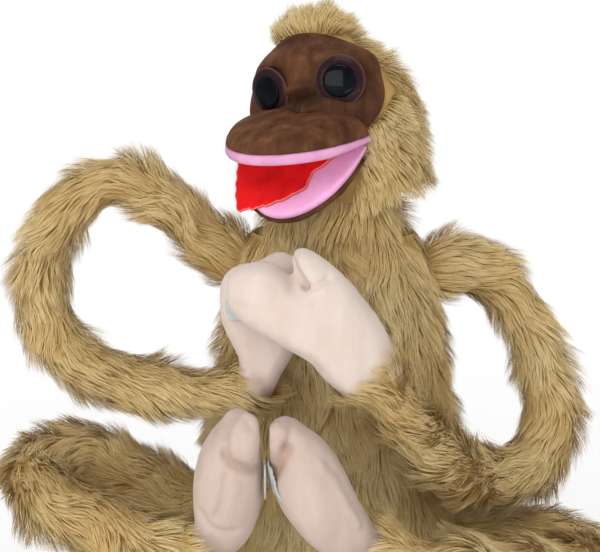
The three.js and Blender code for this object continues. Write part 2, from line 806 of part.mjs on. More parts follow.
// Hands and feet: mittens with a thumb or big toe, flat where the tape patches meet
function finishMittens() {
  const lobe = (rows) => stretch(rows, 0, rows.length - 1, { roundTip: true });
  const clear = patchThickness + 1.5 * seamGap;
  const palms = {
    right_hand: limbPieces.right_hand.add(lobe(rightThumbRows)).subtract(before(palmPlaneY + clear)),
    left_hand: limbPieces.left_hand.add(lobe(leftThumbRows)).subtract(behind(palmPlaneY - clear)),
    right_foot: limbPieces.right_foot.add(lobe(rightToeRows)).subtract(leftOf(solePlaneX - clear)),
    left_foot: limbPieces.left_foot.add(lobe(leftToeRows)).subtract(rightOf(solePlaneX + clear)),
  };
  Object.assign(limbPieces, palms);
}

function addPatches() {
  const thin = patchThickness;
  const near = seamGap / 2;
  const handLow = (y) => point(handPatchX - handPatchHalfWidth, y, handPatchZ - handPatchHalfHeight);
  const handHigh = (y) => point(handPatchX + handPatchHalfWidth, y, handPatchZ + handPatchHalfHeight);
  const footLow = (x) => point(x, solePatchY - solePatchHalfWidth, solePatchZ - solePatchHalfHeight);
  const footHigh = (x) => point(x, solePatchY + solePatchHalfWidth, solePatchZ + solePatchHalfHeight);
  const behindPalm = palmPlaneY + near;
  const beforePalm = palmPlaneY - near;
  const rightSole = solePlaneX - near;
  const leftSole = solePlaneX + near;
  addPiece('right_palm_loop_patch', block(handLow(behindPalm), handHigh(behindPalm + thin)), 'hookTape');
  addPiece('left_palm_hook_patch', block(handLow(beforePalm - thin), handHigh(beforePalm)), 'hookTape');
  addPiece('right_sole_loop_patch', block(footLow(rightSole - thin), footHigh(rightSole)), 'hookTape');
  addPiece('left_sole_hook_patch', block(footLow(leftSole), footHigh(leftSole + thin)), 'hookTape');
}

addBody();
addNeck();
addHead();
addJaw();
addArms();
addLegs();
clearLimbs();
finishMittens();
for (const [name, solid] of Object.entries(limbPieces)) {
  const look = /hand|foot/.test(name) ? 'skinPlush' : 'fur';
  addPiece(name, solid, look);
}
addPatches();

export default puppet;
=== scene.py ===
# %% [markdown]
# # A plush monkey hand puppet
# The puppet sits upright with its long arms looped forward, its mittens clasped and its
# soles together. Golden-tan long-pile fur covers the body, the hood and the limbs; the face
# is brown velboa, the mouth is lined with pink cloth, and the hands and feet are pale velboa.
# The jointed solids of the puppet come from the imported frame, and each soft piece made below
# takes the place of one or more of them.

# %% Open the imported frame
import math
import bmesh
import bpy
import numpy as np
from mathutils import Matrix, Vector, kdtree


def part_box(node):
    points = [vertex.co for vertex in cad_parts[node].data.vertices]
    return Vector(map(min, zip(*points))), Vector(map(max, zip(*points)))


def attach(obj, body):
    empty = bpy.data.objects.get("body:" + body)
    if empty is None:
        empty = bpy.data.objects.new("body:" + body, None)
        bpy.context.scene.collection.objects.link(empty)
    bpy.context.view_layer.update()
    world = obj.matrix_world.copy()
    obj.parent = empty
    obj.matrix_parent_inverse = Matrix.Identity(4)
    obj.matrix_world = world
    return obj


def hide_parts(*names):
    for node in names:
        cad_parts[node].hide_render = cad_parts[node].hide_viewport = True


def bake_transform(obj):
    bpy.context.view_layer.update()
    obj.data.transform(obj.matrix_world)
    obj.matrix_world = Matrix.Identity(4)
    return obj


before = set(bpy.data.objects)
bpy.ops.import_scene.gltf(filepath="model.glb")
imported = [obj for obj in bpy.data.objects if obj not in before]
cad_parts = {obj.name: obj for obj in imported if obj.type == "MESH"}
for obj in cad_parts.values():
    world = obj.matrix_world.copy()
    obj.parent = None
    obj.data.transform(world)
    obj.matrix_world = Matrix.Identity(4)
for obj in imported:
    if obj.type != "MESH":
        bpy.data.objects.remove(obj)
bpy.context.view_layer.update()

mm = 0.001
up = np.array([0.0, 0.0, 1.0])

# %% [markdown]
# ## Camera, floor and light
# A camera fixes how large each hair and seam shows, so it comes first. The lens is long, as a
# product photographer would use, which keeps the arms from looking stretched. The light is a
# large soft key above the front, a low one before the face that reaches into the mouth, weaker
# ones at the side and back, and a pale surround, so colours render about as they are written.

# %% Camera
camera_aim = Vector((-0.028, 0.0, 0.260))
camera_distance = 1.2
camera_height_angle = math.radians(12)
camera_data = bpy.data.cameras.new("camera")
camera_data.sensor_width = 36
camera_data.lens = 84.72
camera = bpy.data.objects.new("camera", camera_data)
bpy.context.scene.collection.objects.link(camera)
back_off = Vector((0, -math.cos(camera_height_angle), math.sin(camera_height_angle)))
camera.location = camera_aim + back_off * camera_distance
camera.rotation_euler = (math.pi / 2 - camera_height_angle, 0, 0)
bpy.context.scene.camera = camera
print("camera at", tuple(round(c, 3) for c in camera.location))


# %% Colours and nodes
# One function turns a written sRGB colour into linear light, and one adds a node.
def linear(hex_colour):
    shares = [int(hex_colour[i:i + 2], 16) / 255 for i in (1, 3, 5)]
    return [c / 12.92 if c <= 0.04045 else ((c + 0.055) / 1.055) ** 2.4 for c in shares] + [1.0]


def add_node(tree, kind, settings=None, values=None, links=None):
    made = tree.nodes.new(kind)
    for key, value in (settings or {}).items():
        setattr(made, key, value)
    for key, value in (values or {}).items():
        made.inputs[key].default_value = value
    for key, source in (links or {}).items():
        tree.links.new(source, made.inputs[key])
    return made


def new_material(name, **values):
    material = bpy.data.materials.new(name)
    material.use_nodes = True
    tree = material.node_tree
    shader = tree.nodes["Principled BSDF"]
    for key, value in values.items():
        shader.inputs[key.replace("_", " ")].default_value = value
    return material, tree, shader


def set_ramp(ramp, stops):
    elements = ramp.color_ramp.elements
    while len(elements) < len(stops):
        elements.new(0.5)
    for element, (place, hex_colour) in zip(elements, stops):
        element.position = place
        element.color = linear(hex_colour)


# %% World and lamps
scene = bpy.context.scene
scene.view_settings.view_transform = "Standard"
world = bpy.data.worlds.new("surround")
scene.world = world
world.use_nodes = True
tree = world.node_tree
tree.nodes.clear()
path = add_node(tree, "ShaderNodeLightPath")
seen = add_node(tree, "ShaderNodeMath", {"operation": "MAXIMUM"}, links={
    0: path.outputs["Is Camera Ray"], 1: path.outputs["Is Transmission Ray"]})
light_part = add_node(tree, "ShaderNodeBackground", values={
    "Color": (1, 1, 1, 1), "Strength": 0.58})
seen_part = add_node(tree, "ShaderNodeBackground", values={
    "Color": (1, 1, 1, 1), "Strength": 1.0})
mixed = add_node(tree, "ShaderNodeMixShader", links={
    0: seen.outputs[0], 1: light_part.outputs[0], 2: seen_part.outputs[0]})
add_node(tree, "ShaderNodeOutputWorld", links={"Surface": mixed.outputs[0]})


def add_lamp(name, place, aim, size, power):
    data = bpy.data.lights.new(name, "AREA")
    data.shape = "RECTANGLE"
    data.size, data.size_y = size
    data.energy = power
    lamp = bpy.data.objects.new(name, data)
    scene.collection.objects.link(lamp)
    lamp.location = place
    lamp.rotation_euler = (Vector(aim) - Vector(place)).to_track_quat("-Z", "Y").to_euler()


add_lamp("key_softbox", (-0.5, -1.5, 1.6), (0, 0, 0.25), (1.1, 1.1), 16)
add_lamp("fill_softbox", (1.6, -1.0, 1.0), (0, 0, 0.25), (1.2, 1.2), 7)
add_lamp("front_softbox", (-0.9, -1.35, 0.3), (0, 0, 0.25), (0.8, 0.5), 7)
add_lamp("back_softbox", (0.2, 1.6, 1.6), (0, 0, 0.25), (1.2, 0.8), 10)
add_lamp("low_strip", (0.0, -0.9, 0.05), (0, 0, 0.30), (0.5, 0.03), 0.6)

# %% Floor
floor_material, tree, shader = new_material("white_floor_paint", Roughness=0.9)
shader.inputs["Base Color"].default_value = linear("#f4f4f3")
# To the camera the floor is mostly its own white, and wholly so away from the puppet, so it
# joins the surround and keeps a soft part of the shadow; to other rays it is plain paint.
path = add_node(tree, "ShaderNodeLightPath")
coords = add_node(tree, "ShaderNodeTexCoord")
distance = add_node(tree, "ShaderNodeVectorMath", {"operation": "LENGTH"},
                    links={0: coords.outputs["Object"]})
fade = add_node(tree, "ShaderNodeMapRange", values={
    "From Min": 0.30, "From Max": 0.75, "To Min": 0.8, "To Max": 1.0},
    links={"Value": distance.outputs["Value"]})
washed = add_node(tree, "ShaderNodeMath", {"operation": "MULTIPLY"}, links={
    0: path.outputs["Is Camera Ray"], 1: fade.outputs[0]})
white = add_node(tree, "ShaderNodeEmission", values={"Color": (1, 1, 1, 1), "Strength": 1.0})
mixed = add_node(tree, "ShaderNodeMixShader", links={
    0: washed.outputs[0], 1: shader.outputs[0], 2: white.outputs[0]})
tree.links.new(mixed.outputs[0], tree.nodes["Material Output"].inputs["Surface"])
floor_half = 3.0
floor_mesh = bpy.data.meshes.new("floor")
corners = [(-floor_half, -floor_half, 0), (floor_half, -floor_half, 0),
           (floor_half, floor_half, 0), (-floor_half, floor_half, 0)]
floor_mesh.from_pydata(corners, [], [(0, 1, 2, 3)])
floor = bpy.data.objects.new("floor", floor_mesh)
floor_mesh.materials.append(floor_material)
scene.collection.objects.link(floor)
print("floor is", 2 * floor_half, "m square")

# %% [markdown]
# ## Sizes of the forms
# The sewn forms are given as rows, in millimetres, in the order of the solid model: level rows
# for the body and head, and rows along the middle line for arms and legs. A curve through the
# rows is smoother than the faceted solids, and the cloth backing lies a pile's depth inside it.

# %% Rows
# Body and head rows: height, half width, half depth, shift to the back
body_rows = [(0, 84, 60, -4), (26, 104, 72, -4), (62, 113, 77, -6), (120, 112, 78, -6),
             (180, 103, 74, -4), (236, 96, 70, 0), (276, 88, 65, 0), (300, 78, 58, 0)]
head_rows = [(-72, 67, 64, 8), (-44, 70, 68, 6), (-8, 71, 70, 5), (22, 68, 68, 5),
             (46, 58, 58, 6), (64, 42, 43, 6), (76, 22, 23, 6)]
# Limb rows: x, y, z, half width, half depth
right_arm_rows = [
    (-56, 0, 252, 27, 27), (-104, 0, 284, 27, 27), (-138, 0, 320, 27, 27), (-178, -5, 342, 28, 28),
    (-218, -10, 325, 28, 28), (-241, -14, 282, 29, 29), (-243, -20, 236, 30, 30),
    (-219, -34, 200, 30, 30), (-182, -52, 184, 30, 30), (-126, -76, 181, 28, 28),
    (-72, -95, 190, 21, 19), (-57, -100, 216, 29, 17), (-65, -101, 245, 31, 17),
    (-74, -101, 266, 25, 14)]
left_arm_rows = [
    (56, 0, 244, 27, 27), (104, 0, 264, 27, 27), (134, -1, 257, 27, 27), (160, -2, 229, 28, 28),
    (178, -5, 191, 29, 29), (188, -10, 148, 31, 31), (179, -26, 113, 32, 32),
    (142, -54, 99, 32, 32), (100, -84, 116, 32, 32), (62, -112, 160, 29, 29),
    (32, -129, 202, 23, 19), (2, -133, 230, 33, 18), (-34, -134, 252, 36, 19),
    (-66, -134, 270, 28, 15)]
right_leg_rows = [
    (-50, 0, 48, 35, 35), (-128, -8, 58, 36, 36), (-170, -16, 83, 37, 37), (-214, -24, 106, 36, 36),
    (-246, -58, 106, 34, 34), (-226, -98, 94, 33, 33), (-188, -120, 84, 33, 33),
    (-142, -144, 76, 31, 31), (-108, -154, 76, 27, 27), (-87, -155, 100, 27, 28),
    (-83, -154, 134, 28, 30), (-81, -153, 166, 24, 26)]
left_leg_rows = [
    (50, 0, 36, 32, 32), (128, -12, 35, 33, 33), (170, -28, 34, 33, 33), (206, -54, 34, 33, 33),
    (206, -94, 38, 33, 33), (166, -126, 48, 33, 33), (108, -148, 60, 31, 31),
    (56, -157, 66, 26, 26), (24, -155, 82, 31, 28), (3, -154, 108, 36, 30),
    (-15, -153, 138, 36, 30), (-27, -152, 164, 27, 26)]

head_place = Vector((3, -6, 402)) * mm
head_turn = (Matrix.Rotation(math.radians(-36), 4, "Z") @ Matrix.Rotation(math.radians(-9), 4, "Y")
             @ Matrix.Rotation(math.radians(6), 4, "X"))
head_matrix = Matrix.Translation(head_place) @ head_turn
palm_plane_y = -117
sole_plane_x = -53


# %% Curves through the rows
def through(points, at):
    """Points of a centripetal curve through the given ones; at counts the given points."""
    points = np.asarray(points, float)
    count = len(points)
    at = np.clip(np.atleast_1d(np.asarray(at, float)), 0, count - 1)
    low = np.minimum(at.astype(int), count - 2)
    share = (at - low)[:, None]
    before = np.vstack([2 * points[0] - points[1], points, 2 * points[-1] - points[-2]])
    p0, p1, p2, p3 = (before[low + k] for k in range(4))
    d0, d1, d2 = (np.sum((b - a)[:, :3] ** 2, axis=1)[:, None] ** 0.25 + 1e-9
                  for a, b in ((p0, p1), (p1, p2), (p2, p3)))
    m1 = ((p1 - p0) / d0 - (p2 - p0) / (d0 + d1) + (p2 - p1) / d1) * d1
    m2 = ((p2 - p1) / d1 - (p3 - p1) / (d1 + d2) + (p3 - p2) / d2) * d1
    a = 2 * p1 - 2 * p2 + m1 + m2
    b = 3 * p2 - 3 * p1 - 2 * m1 - m2
    return ((a * share + b) * share + m1) * share + p1


def unit(vectors):
    return vectors / np.maximum(np.linalg.norm(vectors, axis=-1, keepdims=True), 1e-12)


def limb_frames(rows, at):
    """Middle, half sizes, length direction and section directions of a limb, in metres."""
    rows = np.asarray(rows, float)
    middle = through(rows, at) * mm
    ahead = through(rows, np.asarray(at) + 0.02)[:, :3]
    behind = through(rows, np.asarray(at) - 0.02)[:, :3]
    along = unit(ahead - behind)
    depth = unit(np.array([0, 1.0, 0]) - along[:, 1:2] * along)
    side = np.cross(depth, along)
    return middle[:, :3], middle[:, 3], middle[:, 4], along, side, depth


# %% [markdown]
# ## Cloth backing
# Fur fabric is a knitted backing with pile on one side. The backing is built as a plain grid
# of faces, because the hairs will be planted on it and need to know which way the cloth runs.
# Each grid returns its points, its faces and the direction in which the pile is combed.

# %% Backing grids
def grid_faces(rings, sides, closed=True):
    faces = []
    for k in range(rings - 1):
        for i in range(sides if closed else sides - 1):
            j = (i + 1) % sides
            faces.append((k * sides + i, k * sides + j, (k + 1) * sides + j, (k + 1) * sides + i))
    return faces


def sheet_faces(rings, sides):
    """Faces of a thin sheet, whose points are a top grid and then a bottom one, and the places
    of the top's edge."""
    faces = grid_faces(rings, sides, closed=False)
    count = rings * sides
    faces += [tuple(count + i for i in face[::-1]) for face in faces]
    border = (list(range(sides)) + [k * sides + sides - 1 for k in range(1, rings)]
              + [count - 1 - i for i in range(1, sides)] + [k * sides for k in range(rings - 2, 0, -1)])
    for i, j in zip(border, border[1:] + border[:1]):
        faces.append((i, j, count + j, count + i))
    return faces, border


def limb_grid(rows, start, end, inset, flare=0.0, thick_top=0.0, step_mm=5, sides=28):
    """A tube of cloth round a limb between two rows. It may widen over its last half, and its
    upper side may be thicker where it joins the body."""
    fine = np.linspace(start, end, 60)
    middle = limb_frames(rows, fine)[0]
    length = np.linalg.norm(np.diff(middle, axis=0), axis=1).sum()
    rings = max(3, int(length / (step_mm * mm)))
    middle, half, deep, along, side, depth = limb_frames(rows, np.linspace(start, end, rings))
    turn = np.linspace(0, 2 * math.pi, sides, endpoint=False)
    cos, sin = np.cos(turn)[None, :, None], np.sin(turn)[None, :, None]
    widening = flare * np.clip(np.linspace(-0.5, 1, rings), 0, 1) ** 1.5
    half = (half + (widening - inset) * mm)[:, None, None]
    deep = (deep + (widening - inset) * mm)[:, None, None]
    points = middle[:, None] + side[:, None] * cos * half + depth[:, None] * sin * deep
    upper = np.clip((points - middle[:, None])[..., 2:3] / half, 0, 1)
    joined = np.cos(np.linspace(0, math.pi / 2, rings))[:, None, None]
    points = points + up * upper * joined * thick_top * mm
    combed = np.repeat(along[:, None], sides, axis=1)
    return points.reshape(-1, 3), grid_faces(rings, sides), combed.reshape(-1, 3)


def level_points(rows, height, turn, inset):
    """Points of a form of level rows, at heights and turns round it, in millimetres."""
    rows = np.asarray(rows, float)
    places = np.interp(height, rows[:, 0], np.arange(len(rows)))
    sizes = through(rows, places)
    half, deep, shift = sizes[:, 1] - inset, sizes[:, 2] - inset, sizes[:, 3]
    return np.stack([half * np.cos(turn), shift + deep * np.sin(turn), height], axis=1)


def level_grid(rows, low, high, inset, step_mm=5, start_turn=0.0, end_turn=2 * math.pi):
    closed = abs(end_turn - start_turn - 2 * math.pi) < 1e-6
    girth = 2 * math.pi * max(row[1] for row in rows) * (end_turn - start_turn) / (2 * math.pi)
    sides = int(girth / step_mm)
    rings = int((high - low) / step_mm)
    turns = np.linspace(start_turn, end_turn, sides, endpoint=not closed)
    heights, around = np.meshgrid(np.linspace(low, high, rings), turns, indexing="ij")
    points = level_points(rows, heights.ravel(), around.ravel(), inset)
    return points * mm, grid_faces(rings, sides, closed)


def new_piece(name, points, faces, material):
    """A shaded mesh object in the scene."""
    mesh = bpy.data.meshes.new(name)
    mesh.from_pydata([tuple(p) for p in points], [], faces)
    mesh.polygons.foreach_set("use_smooth", [True] * len(mesh.polygons))
    mesh.materials.append(material)
    piece = bpy.data.objects.new(name, mesh)
    scene.collection.objects.link(piece)
    return piece


# %% [markdown]
# ## Fur fabric
# The pile is acrylic, about 20 to 30 mm long, golden tan at the root and paler at the tip.
# Particle hair would be lost in the export, so each hair is a thin ribbon of four faces.
# Real pile sticks together in locks: here every hair leans toward the middle of its lock as
# it nears the tip, in small locks first and in larger ones after.

# %% Fur materials
def unevenly_dyed(tree, shader, patch_mm, detail, stops):
    """Colours a material in soft patches of a real size. Returns the pattern."""
    coords = add_node(tree, "ShaderNodeTexCoord")
    patches = add_node(tree, "ShaderNodeTexNoise", values={
        "Scale": 1 / (patch_mm * mm), "Detail": detail}, links={"Vector": coords.outputs["Object"]})
    ramp = add_node(tree, "ShaderNodeValToRGB", links={"Fac": patches.outputs[0]})
    set_ramp(ramp, stops)
    tree.links.new(ramp.outputs[0], shader.inputs["Base Color"])
    return patches


# The knit shows only between the hairs, so it is as dark as their roots.
fur_backing, tree, shader = new_material("knitted_fur_backing", Roughness=0.95)
unevenly_dyed(tree, shader, 18, 4, [(0.3, "#9f7c42"), (0.7, "#b8965a")])

fur_pile, tree, shader = new_material(
    "acrylic_fur_pile", Roughness=0.62, Sheen_Weight=0.25, Sheen_Roughness=0.45)
shader.inputs["Sheen Tint"].default_value = linear("#f0e2bd")
shader.inputs["Specular IOR Level"].default_value = 0.28
# Along a hair the colour goes from the dark root to the pale tip; across, from lock to lock,
# the dye is a little warmer or greyer. Both come from the hair's own map.
hair_map = add_node(tree, "ShaderNodeUVMap", {"uv_map": "strand"})
split = add_node(tree, "ShaderNodeSeparateXYZ", links={"Vector": hair_map.outputs[0]})
warm = add_node(tree, "ShaderNodeValToRGB", links={"Fac": split.outputs["Y"]})
set_ramp(warm, [(0.0, "#ab8646"), (0.45, "#c6a263"), (1.0, "#dabe82")])
grey = add_node(tree, "ShaderNodeValToRGB", links={"Fac": split.outputs["Y"]})
set_ramp(grey, [(0.0, "#b89c62"), (0.45, "#d2b980"), (1.0, "#e6d6a8")])
dye = add_node(tree, "ShaderNodeMix", {"data_type": "RGBA"}, links={
    "Factor": split.outputs["X"], 6: warm.outputs[0], 7: grey.outputs[0]})
tree.links.new(dye.outputs[2], shader.inputs["Base Color"])


# %% [markdown]
# ## Plush, felt and plastic
# Velboa has a pile about 1 mm long. It shows no hairs at arm's length, but it brushes into
# lighter and darker streaks, and its edges catch a soft light. Felt is duller and more even.
# The eyes are moulded plastic with a polished face.

# %% Short-pile materials
def plush(name, shades, streak_mm, sheen, sheen_tint, grain=0.25, crease="#7a4a2a"):
    """Short-pile cloth: brushed streaks of three shades, a fine nap, and painted shade in creases."""
    material, tree, shader = new_material(name, Roughness=0.85, Sheen_Weight=sheen, Sheen_Roughness=0.35)
    shader.inputs["Sheen Tint"].default_value = linear(sheen_tint)
    shader.inputs["Specular IOR Level"].default_value = 0.2
    coords = add_node(tree, "ShaderNodeTexCoord")
    # Brushing runs up and down, so the pattern is stretched that way.
    brushed = add_node(tree, "ShaderNodeMapping", values={"Scale": (1, 1, 0.35)},
                       links={"Vector": coords.outputs["Object"]})
    streaks = add_node(tree, "ShaderNodeTexNoise", values={
        "Scale": 1 / (streak_mm * mm), "Detail": 5, "Roughness": 0.55, "Distortion": 0.1},
        links={"Vector": brushed.outputs[0]})
    ramp = add_node(tree, "ShaderNodeValToRGB", links={"Fac": streaks.outputs[0]})
    set_ramp(ramp, list(zip((0.32, 0.52, 0.72), shades)))
    # The tint share mixes in the crease colour: painted shade in the creases and folds of velboa, and a
    # paler cut edge on the felt tongue.
    creased = add_node(tree, "ShaderNodeAttribute", {"attribute_name": "tint"})
    colour = add_node(tree, "ShaderNodeMix", {"data_type": "RGBA"}, {7: linear(crease)}, {
        "Factor": creased.outputs["Fac"], 6: ramp.outputs[0]})
    tree.links.new(colour.outputs[2], shader.inputs["Base Color"])
    # The nap is a fine grain of about half a millimetre.
    nap = add_node(tree, "ShaderNodeTexNoise", values={"Scale": 1 / (0.5 * mm), "Detail": 2},
                   links={"Vector": coords.outputs["Object"]})
    waves = add_node(tree, "ShaderNodeTexNoise", values={"Scale": 1 / (6 * mm), "Detail": 2},
                     links={"Vector": coords.outputs["Object"]})
    soft = add_node(tree, "ShaderNodeBump", values={"Strength": 0.18, "Distance": 1.2 * mm},
                    links={"Height": waves.outputs[0]})
    fine = add_node(tree, "ShaderNodeBump", values={"Strength": grain, "Distance": 0.25 * mm},
                    links={"Height": nap.outputs[0], "Normal": soft.outputs[0]})
    tree.links.new(fine.outputs[0], shader.inputs["Normal"])
    return material


# The brown velboa's crease colour is the painted shade of the face panel's folds and eye sockets.
brown_velboa = plush("brown_velboa", ("#3c200d", "#56341f", "#71492d"), 14, 0.28, "#a06a38",
                     crease="#1f0f0a")
# The pale velboas' crease colour is the painted shade that strokes mix into hand and foot creases.
pale_velboa = plush("pale_velboa", ("#c7b4a9", "#cdbdb3", "#d3c5bc"), 22, 0.2, "#fff4ee",
                    grain=0.15, crease="#8f5a36")
# The feet get a darker copy of the pale velboa: painted shade, for the hands' shadow on them.
foot_velboa_painted_shade = plush("pale_velboa_painted_shade", ("#b5a094", "#bdaa9e", "#c4b2a7"), 22, 0.2, "#fff4ee",
                    grain=0.15, crease="#8f5a36")
pink_cloth = plush("pink_cloth", ("#df9cc6", "#e6a6cf", "#ecb1d7"), 18, 0.15, "#ffd9f0",
                   grain=0.2, crease="#c9719f")
# The lining of the roof of the mouth is the same pink cloth, painted duller as painted shade under the
# muzzle.
palate_cloth_painted_shade = plush("pink_palate_cloth_painted_shade", ("#c98cb0", "#d196b9", "#d8a0c1"), 18, 0.1, "#ffd9f0",
                     grain=0.2, crease="#c9719f")
red_felt = plush("red_felt", ("#cc0a10", "#de1016", "#e6181c"), 12, 0.05, "#ff8a80",
                 grain=0.35, crease="#f0a79a")
cotton_lining = plush("cotton_lining", ("#ab9b7c", "#b9a988", "#c4b697"), 10, 0.05, "#fff8e6",
                      grain=0.3, crease="#8d7e62")

# %% Plastic, board and tape materials
eye_rim_plastic, tree, shader = new_material(
    "smoky_plum_plastic", Roughness=0.2, Coat_Weight=0.05, Coat_Roughness=0.03)
shader.inputs["Specular IOR Level"].default_value = 0.04
# The rim is clear plastic dyed plum; it pales toward its thin outer edge, partly as thinner dye and partly
# as a painted glint of light through the edge.
radius_share = add_node(tree, "ShaderNodeAttribute", {"attribute_name": "tint"})
rim_ramp = add_node(tree, "ShaderNodeValToRGB", links={"Fac": radius_share.outputs["Fac"]})
set_ramp(rim_ramp, [(0.0, "#1c0f10"), (0.88, "#2c191b"), (0.96, "#3a2427"), (1.0, "#5d4448")])
tree.links.new(rim_ramp.outputs[0], shader.inputs["Base Color"])

pupil_plastic, tree, shader = new_material(
    "polished_black_plastic", Roughness=0.12, Coat_Weight=0.07, Coat_Roughness=0.02)
shader.inputs["Specular IOR Level"].default_value = 0.03
unevenly_dyed(tree, shader, 8, 3, [(0.35, "#05070a"), (0.7, "#0a1116")])

hardboard, tree, shader = new_material("hardboard", Roughness=0.75)
# Pressed wood fibres show as a brown fleck of a millimetre or two.
fibres = unevenly_dyed(tree, shader, 1.5, 6, [(0.3, "#84725a"), (0.7, "#a8977b")])
rough = add_node(tree, "ShaderNodeBump", values={"Strength": 0.3, "Distance": 0.2 * mm},
                 links={"Height": fibres.outputs[0]})
tree.links.new(rough.outputs[0], shader.inputs["Normal"])

washer_plastic, tree, shader = new_material("white_moulded_plastic", Roughness=0.4)
unevenly_dyed(tree, shader, 3, 2, [(0.3, "#d4d4d0"), (0.7, "#e2e2de")])

hook_tape, tree, shader = new_material("hook_and_loop_tape", Roughness=0.5)
# Rows of tiny stiff loops: a fine grid of bumps with glints between.
coords = add_node(tree, "ShaderNodeTexCoord")
hooks = add_node(tree, "ShaderNodeTexVoronoi", values={"Scale": 1 / (0.9 * mm)},
                 links={"Vector": coords.outputs["Object"]})
tape_ramp = add_node(tree, "ShaderNodeValToRGB", links={"Fac": hooks.outputs["Distance"]})
set_ramp(tape_ramp, [(0.1, "#cfd1cf"), (0.6, "#aaacaa")])
tree.links.new(tape_ramp.outputs[0], shader.inputs["Base Color"])
hooked = add_node(tree, "ShaderNodeBump", values={"Strength": 0.8, "Distance": 0.5 * mm},
                  links={"Height": hooks.outputs["Distance"]})
tree.links.new(hooked.outputs[0], shader.inputs["Normal"])

black_thread, tree, shader = new_material("black_thread", Roughness=0.6)
coords = add_node(tree, "ShaderNodeTexCoord")
twist = add_node(tree, "ShaderNodeTexWave", values={"Scale": 1 / (1.2 * mm), "Distortion": 1},
                 links={"Vector": coords.outputs["Object"]})
thread_ramp = add_node(tree, "ShaderNodeValToRGB", links={"Fac": twist.outputs[0]})
set_ramp(thread_ramp, [(0.3, "#0b0c09"), (0.7, "#23241c")])
tree.links.new(thread_ramp.outputs[0], shader.inputs["Base Color"])
print(len(bpy.data.materials), "materials")


# %% Hair planting
def soft_noise(points, size_mm, seed, waves=10):
    """A smooth random vector at each point, about one unit long, that changes over size_mm."""
    random = np.random.default_rng(seed)
    heading = unit(random.normal(size=(waves, 3)))
    pace = 2 * math.pi / (size_mm * mm) * random.uniform(0.6, 1.4, waves)
    start = random.uniform(0, 2 * math.pi, (3, waves))
    swing = (points @ heading.T) * pace
    return np.stack([np.sin(swing + start[k]).sum(axis=1) for k in range(3)], axis=1) / math.sqrt(waves)


def plant(points, faces, combed, count, seed):
    """Random roots on a grid, even by area, with the cloth's outward and combing directions."""
    random = np.random.default_rng(seed)
    quads = np.array(faces)
    a, b, c, d = (points[quads[:, k]] for k in range(4))
    cross = np.cross(c - a, d - b)
    area = np.linalg.norm(cross, axis=1)
    pick = random.choice(len(quads), size=count, p=area / area.sum())
    s, t = random.random((2, count, 1))
    spread = lambda values: ((values[quads[pick, 0]] * (1 - s) + values[quads[pick, 1]] * s) * (1 - t)
                             + (values[quads[pick, 3]] * (1 - s) + values[quads[pick, 2]] * s) * t)
    normals = np.zeros_like(points)
    for k in range(4):
        np.add.at(normals, quads[:, k], cross)
    return spread(points), unit(spread(unit(normals))), unit(spread(combed))


def gathered(curves, area, lock_mm, pull, power, seed):
    """Draws each hair toward the hair at the middle of its lock, more at the tip."""
    random = np.random.default_rng(seed)
    roots = curves[:, 0]
    locks = min(max(2, int(area / (lock_mm * mm) ** 2)), len(roots))
    middles = random.choice(len(roots), size=locks, replace=False)
    tree = kdtree.KDTree(len(middles))
    for i, m in enumerate(middles):
        tree.insert(roots[m], i)
    tree.balance()
    near = middles[[tree.find(root)[1] for root in roots]]
    steps = curves.shape[1]
    share = pull * np.linspace(0, 1, steps)[None, :, None] ** power
    share = share * random.uniform(0.7, 1.0, (len(roots), 1, 1))
    return curves + (curves[near] - curves) * share, near


hair_steps = 5
hairs_per_piece, most_planted = 24500, 60000


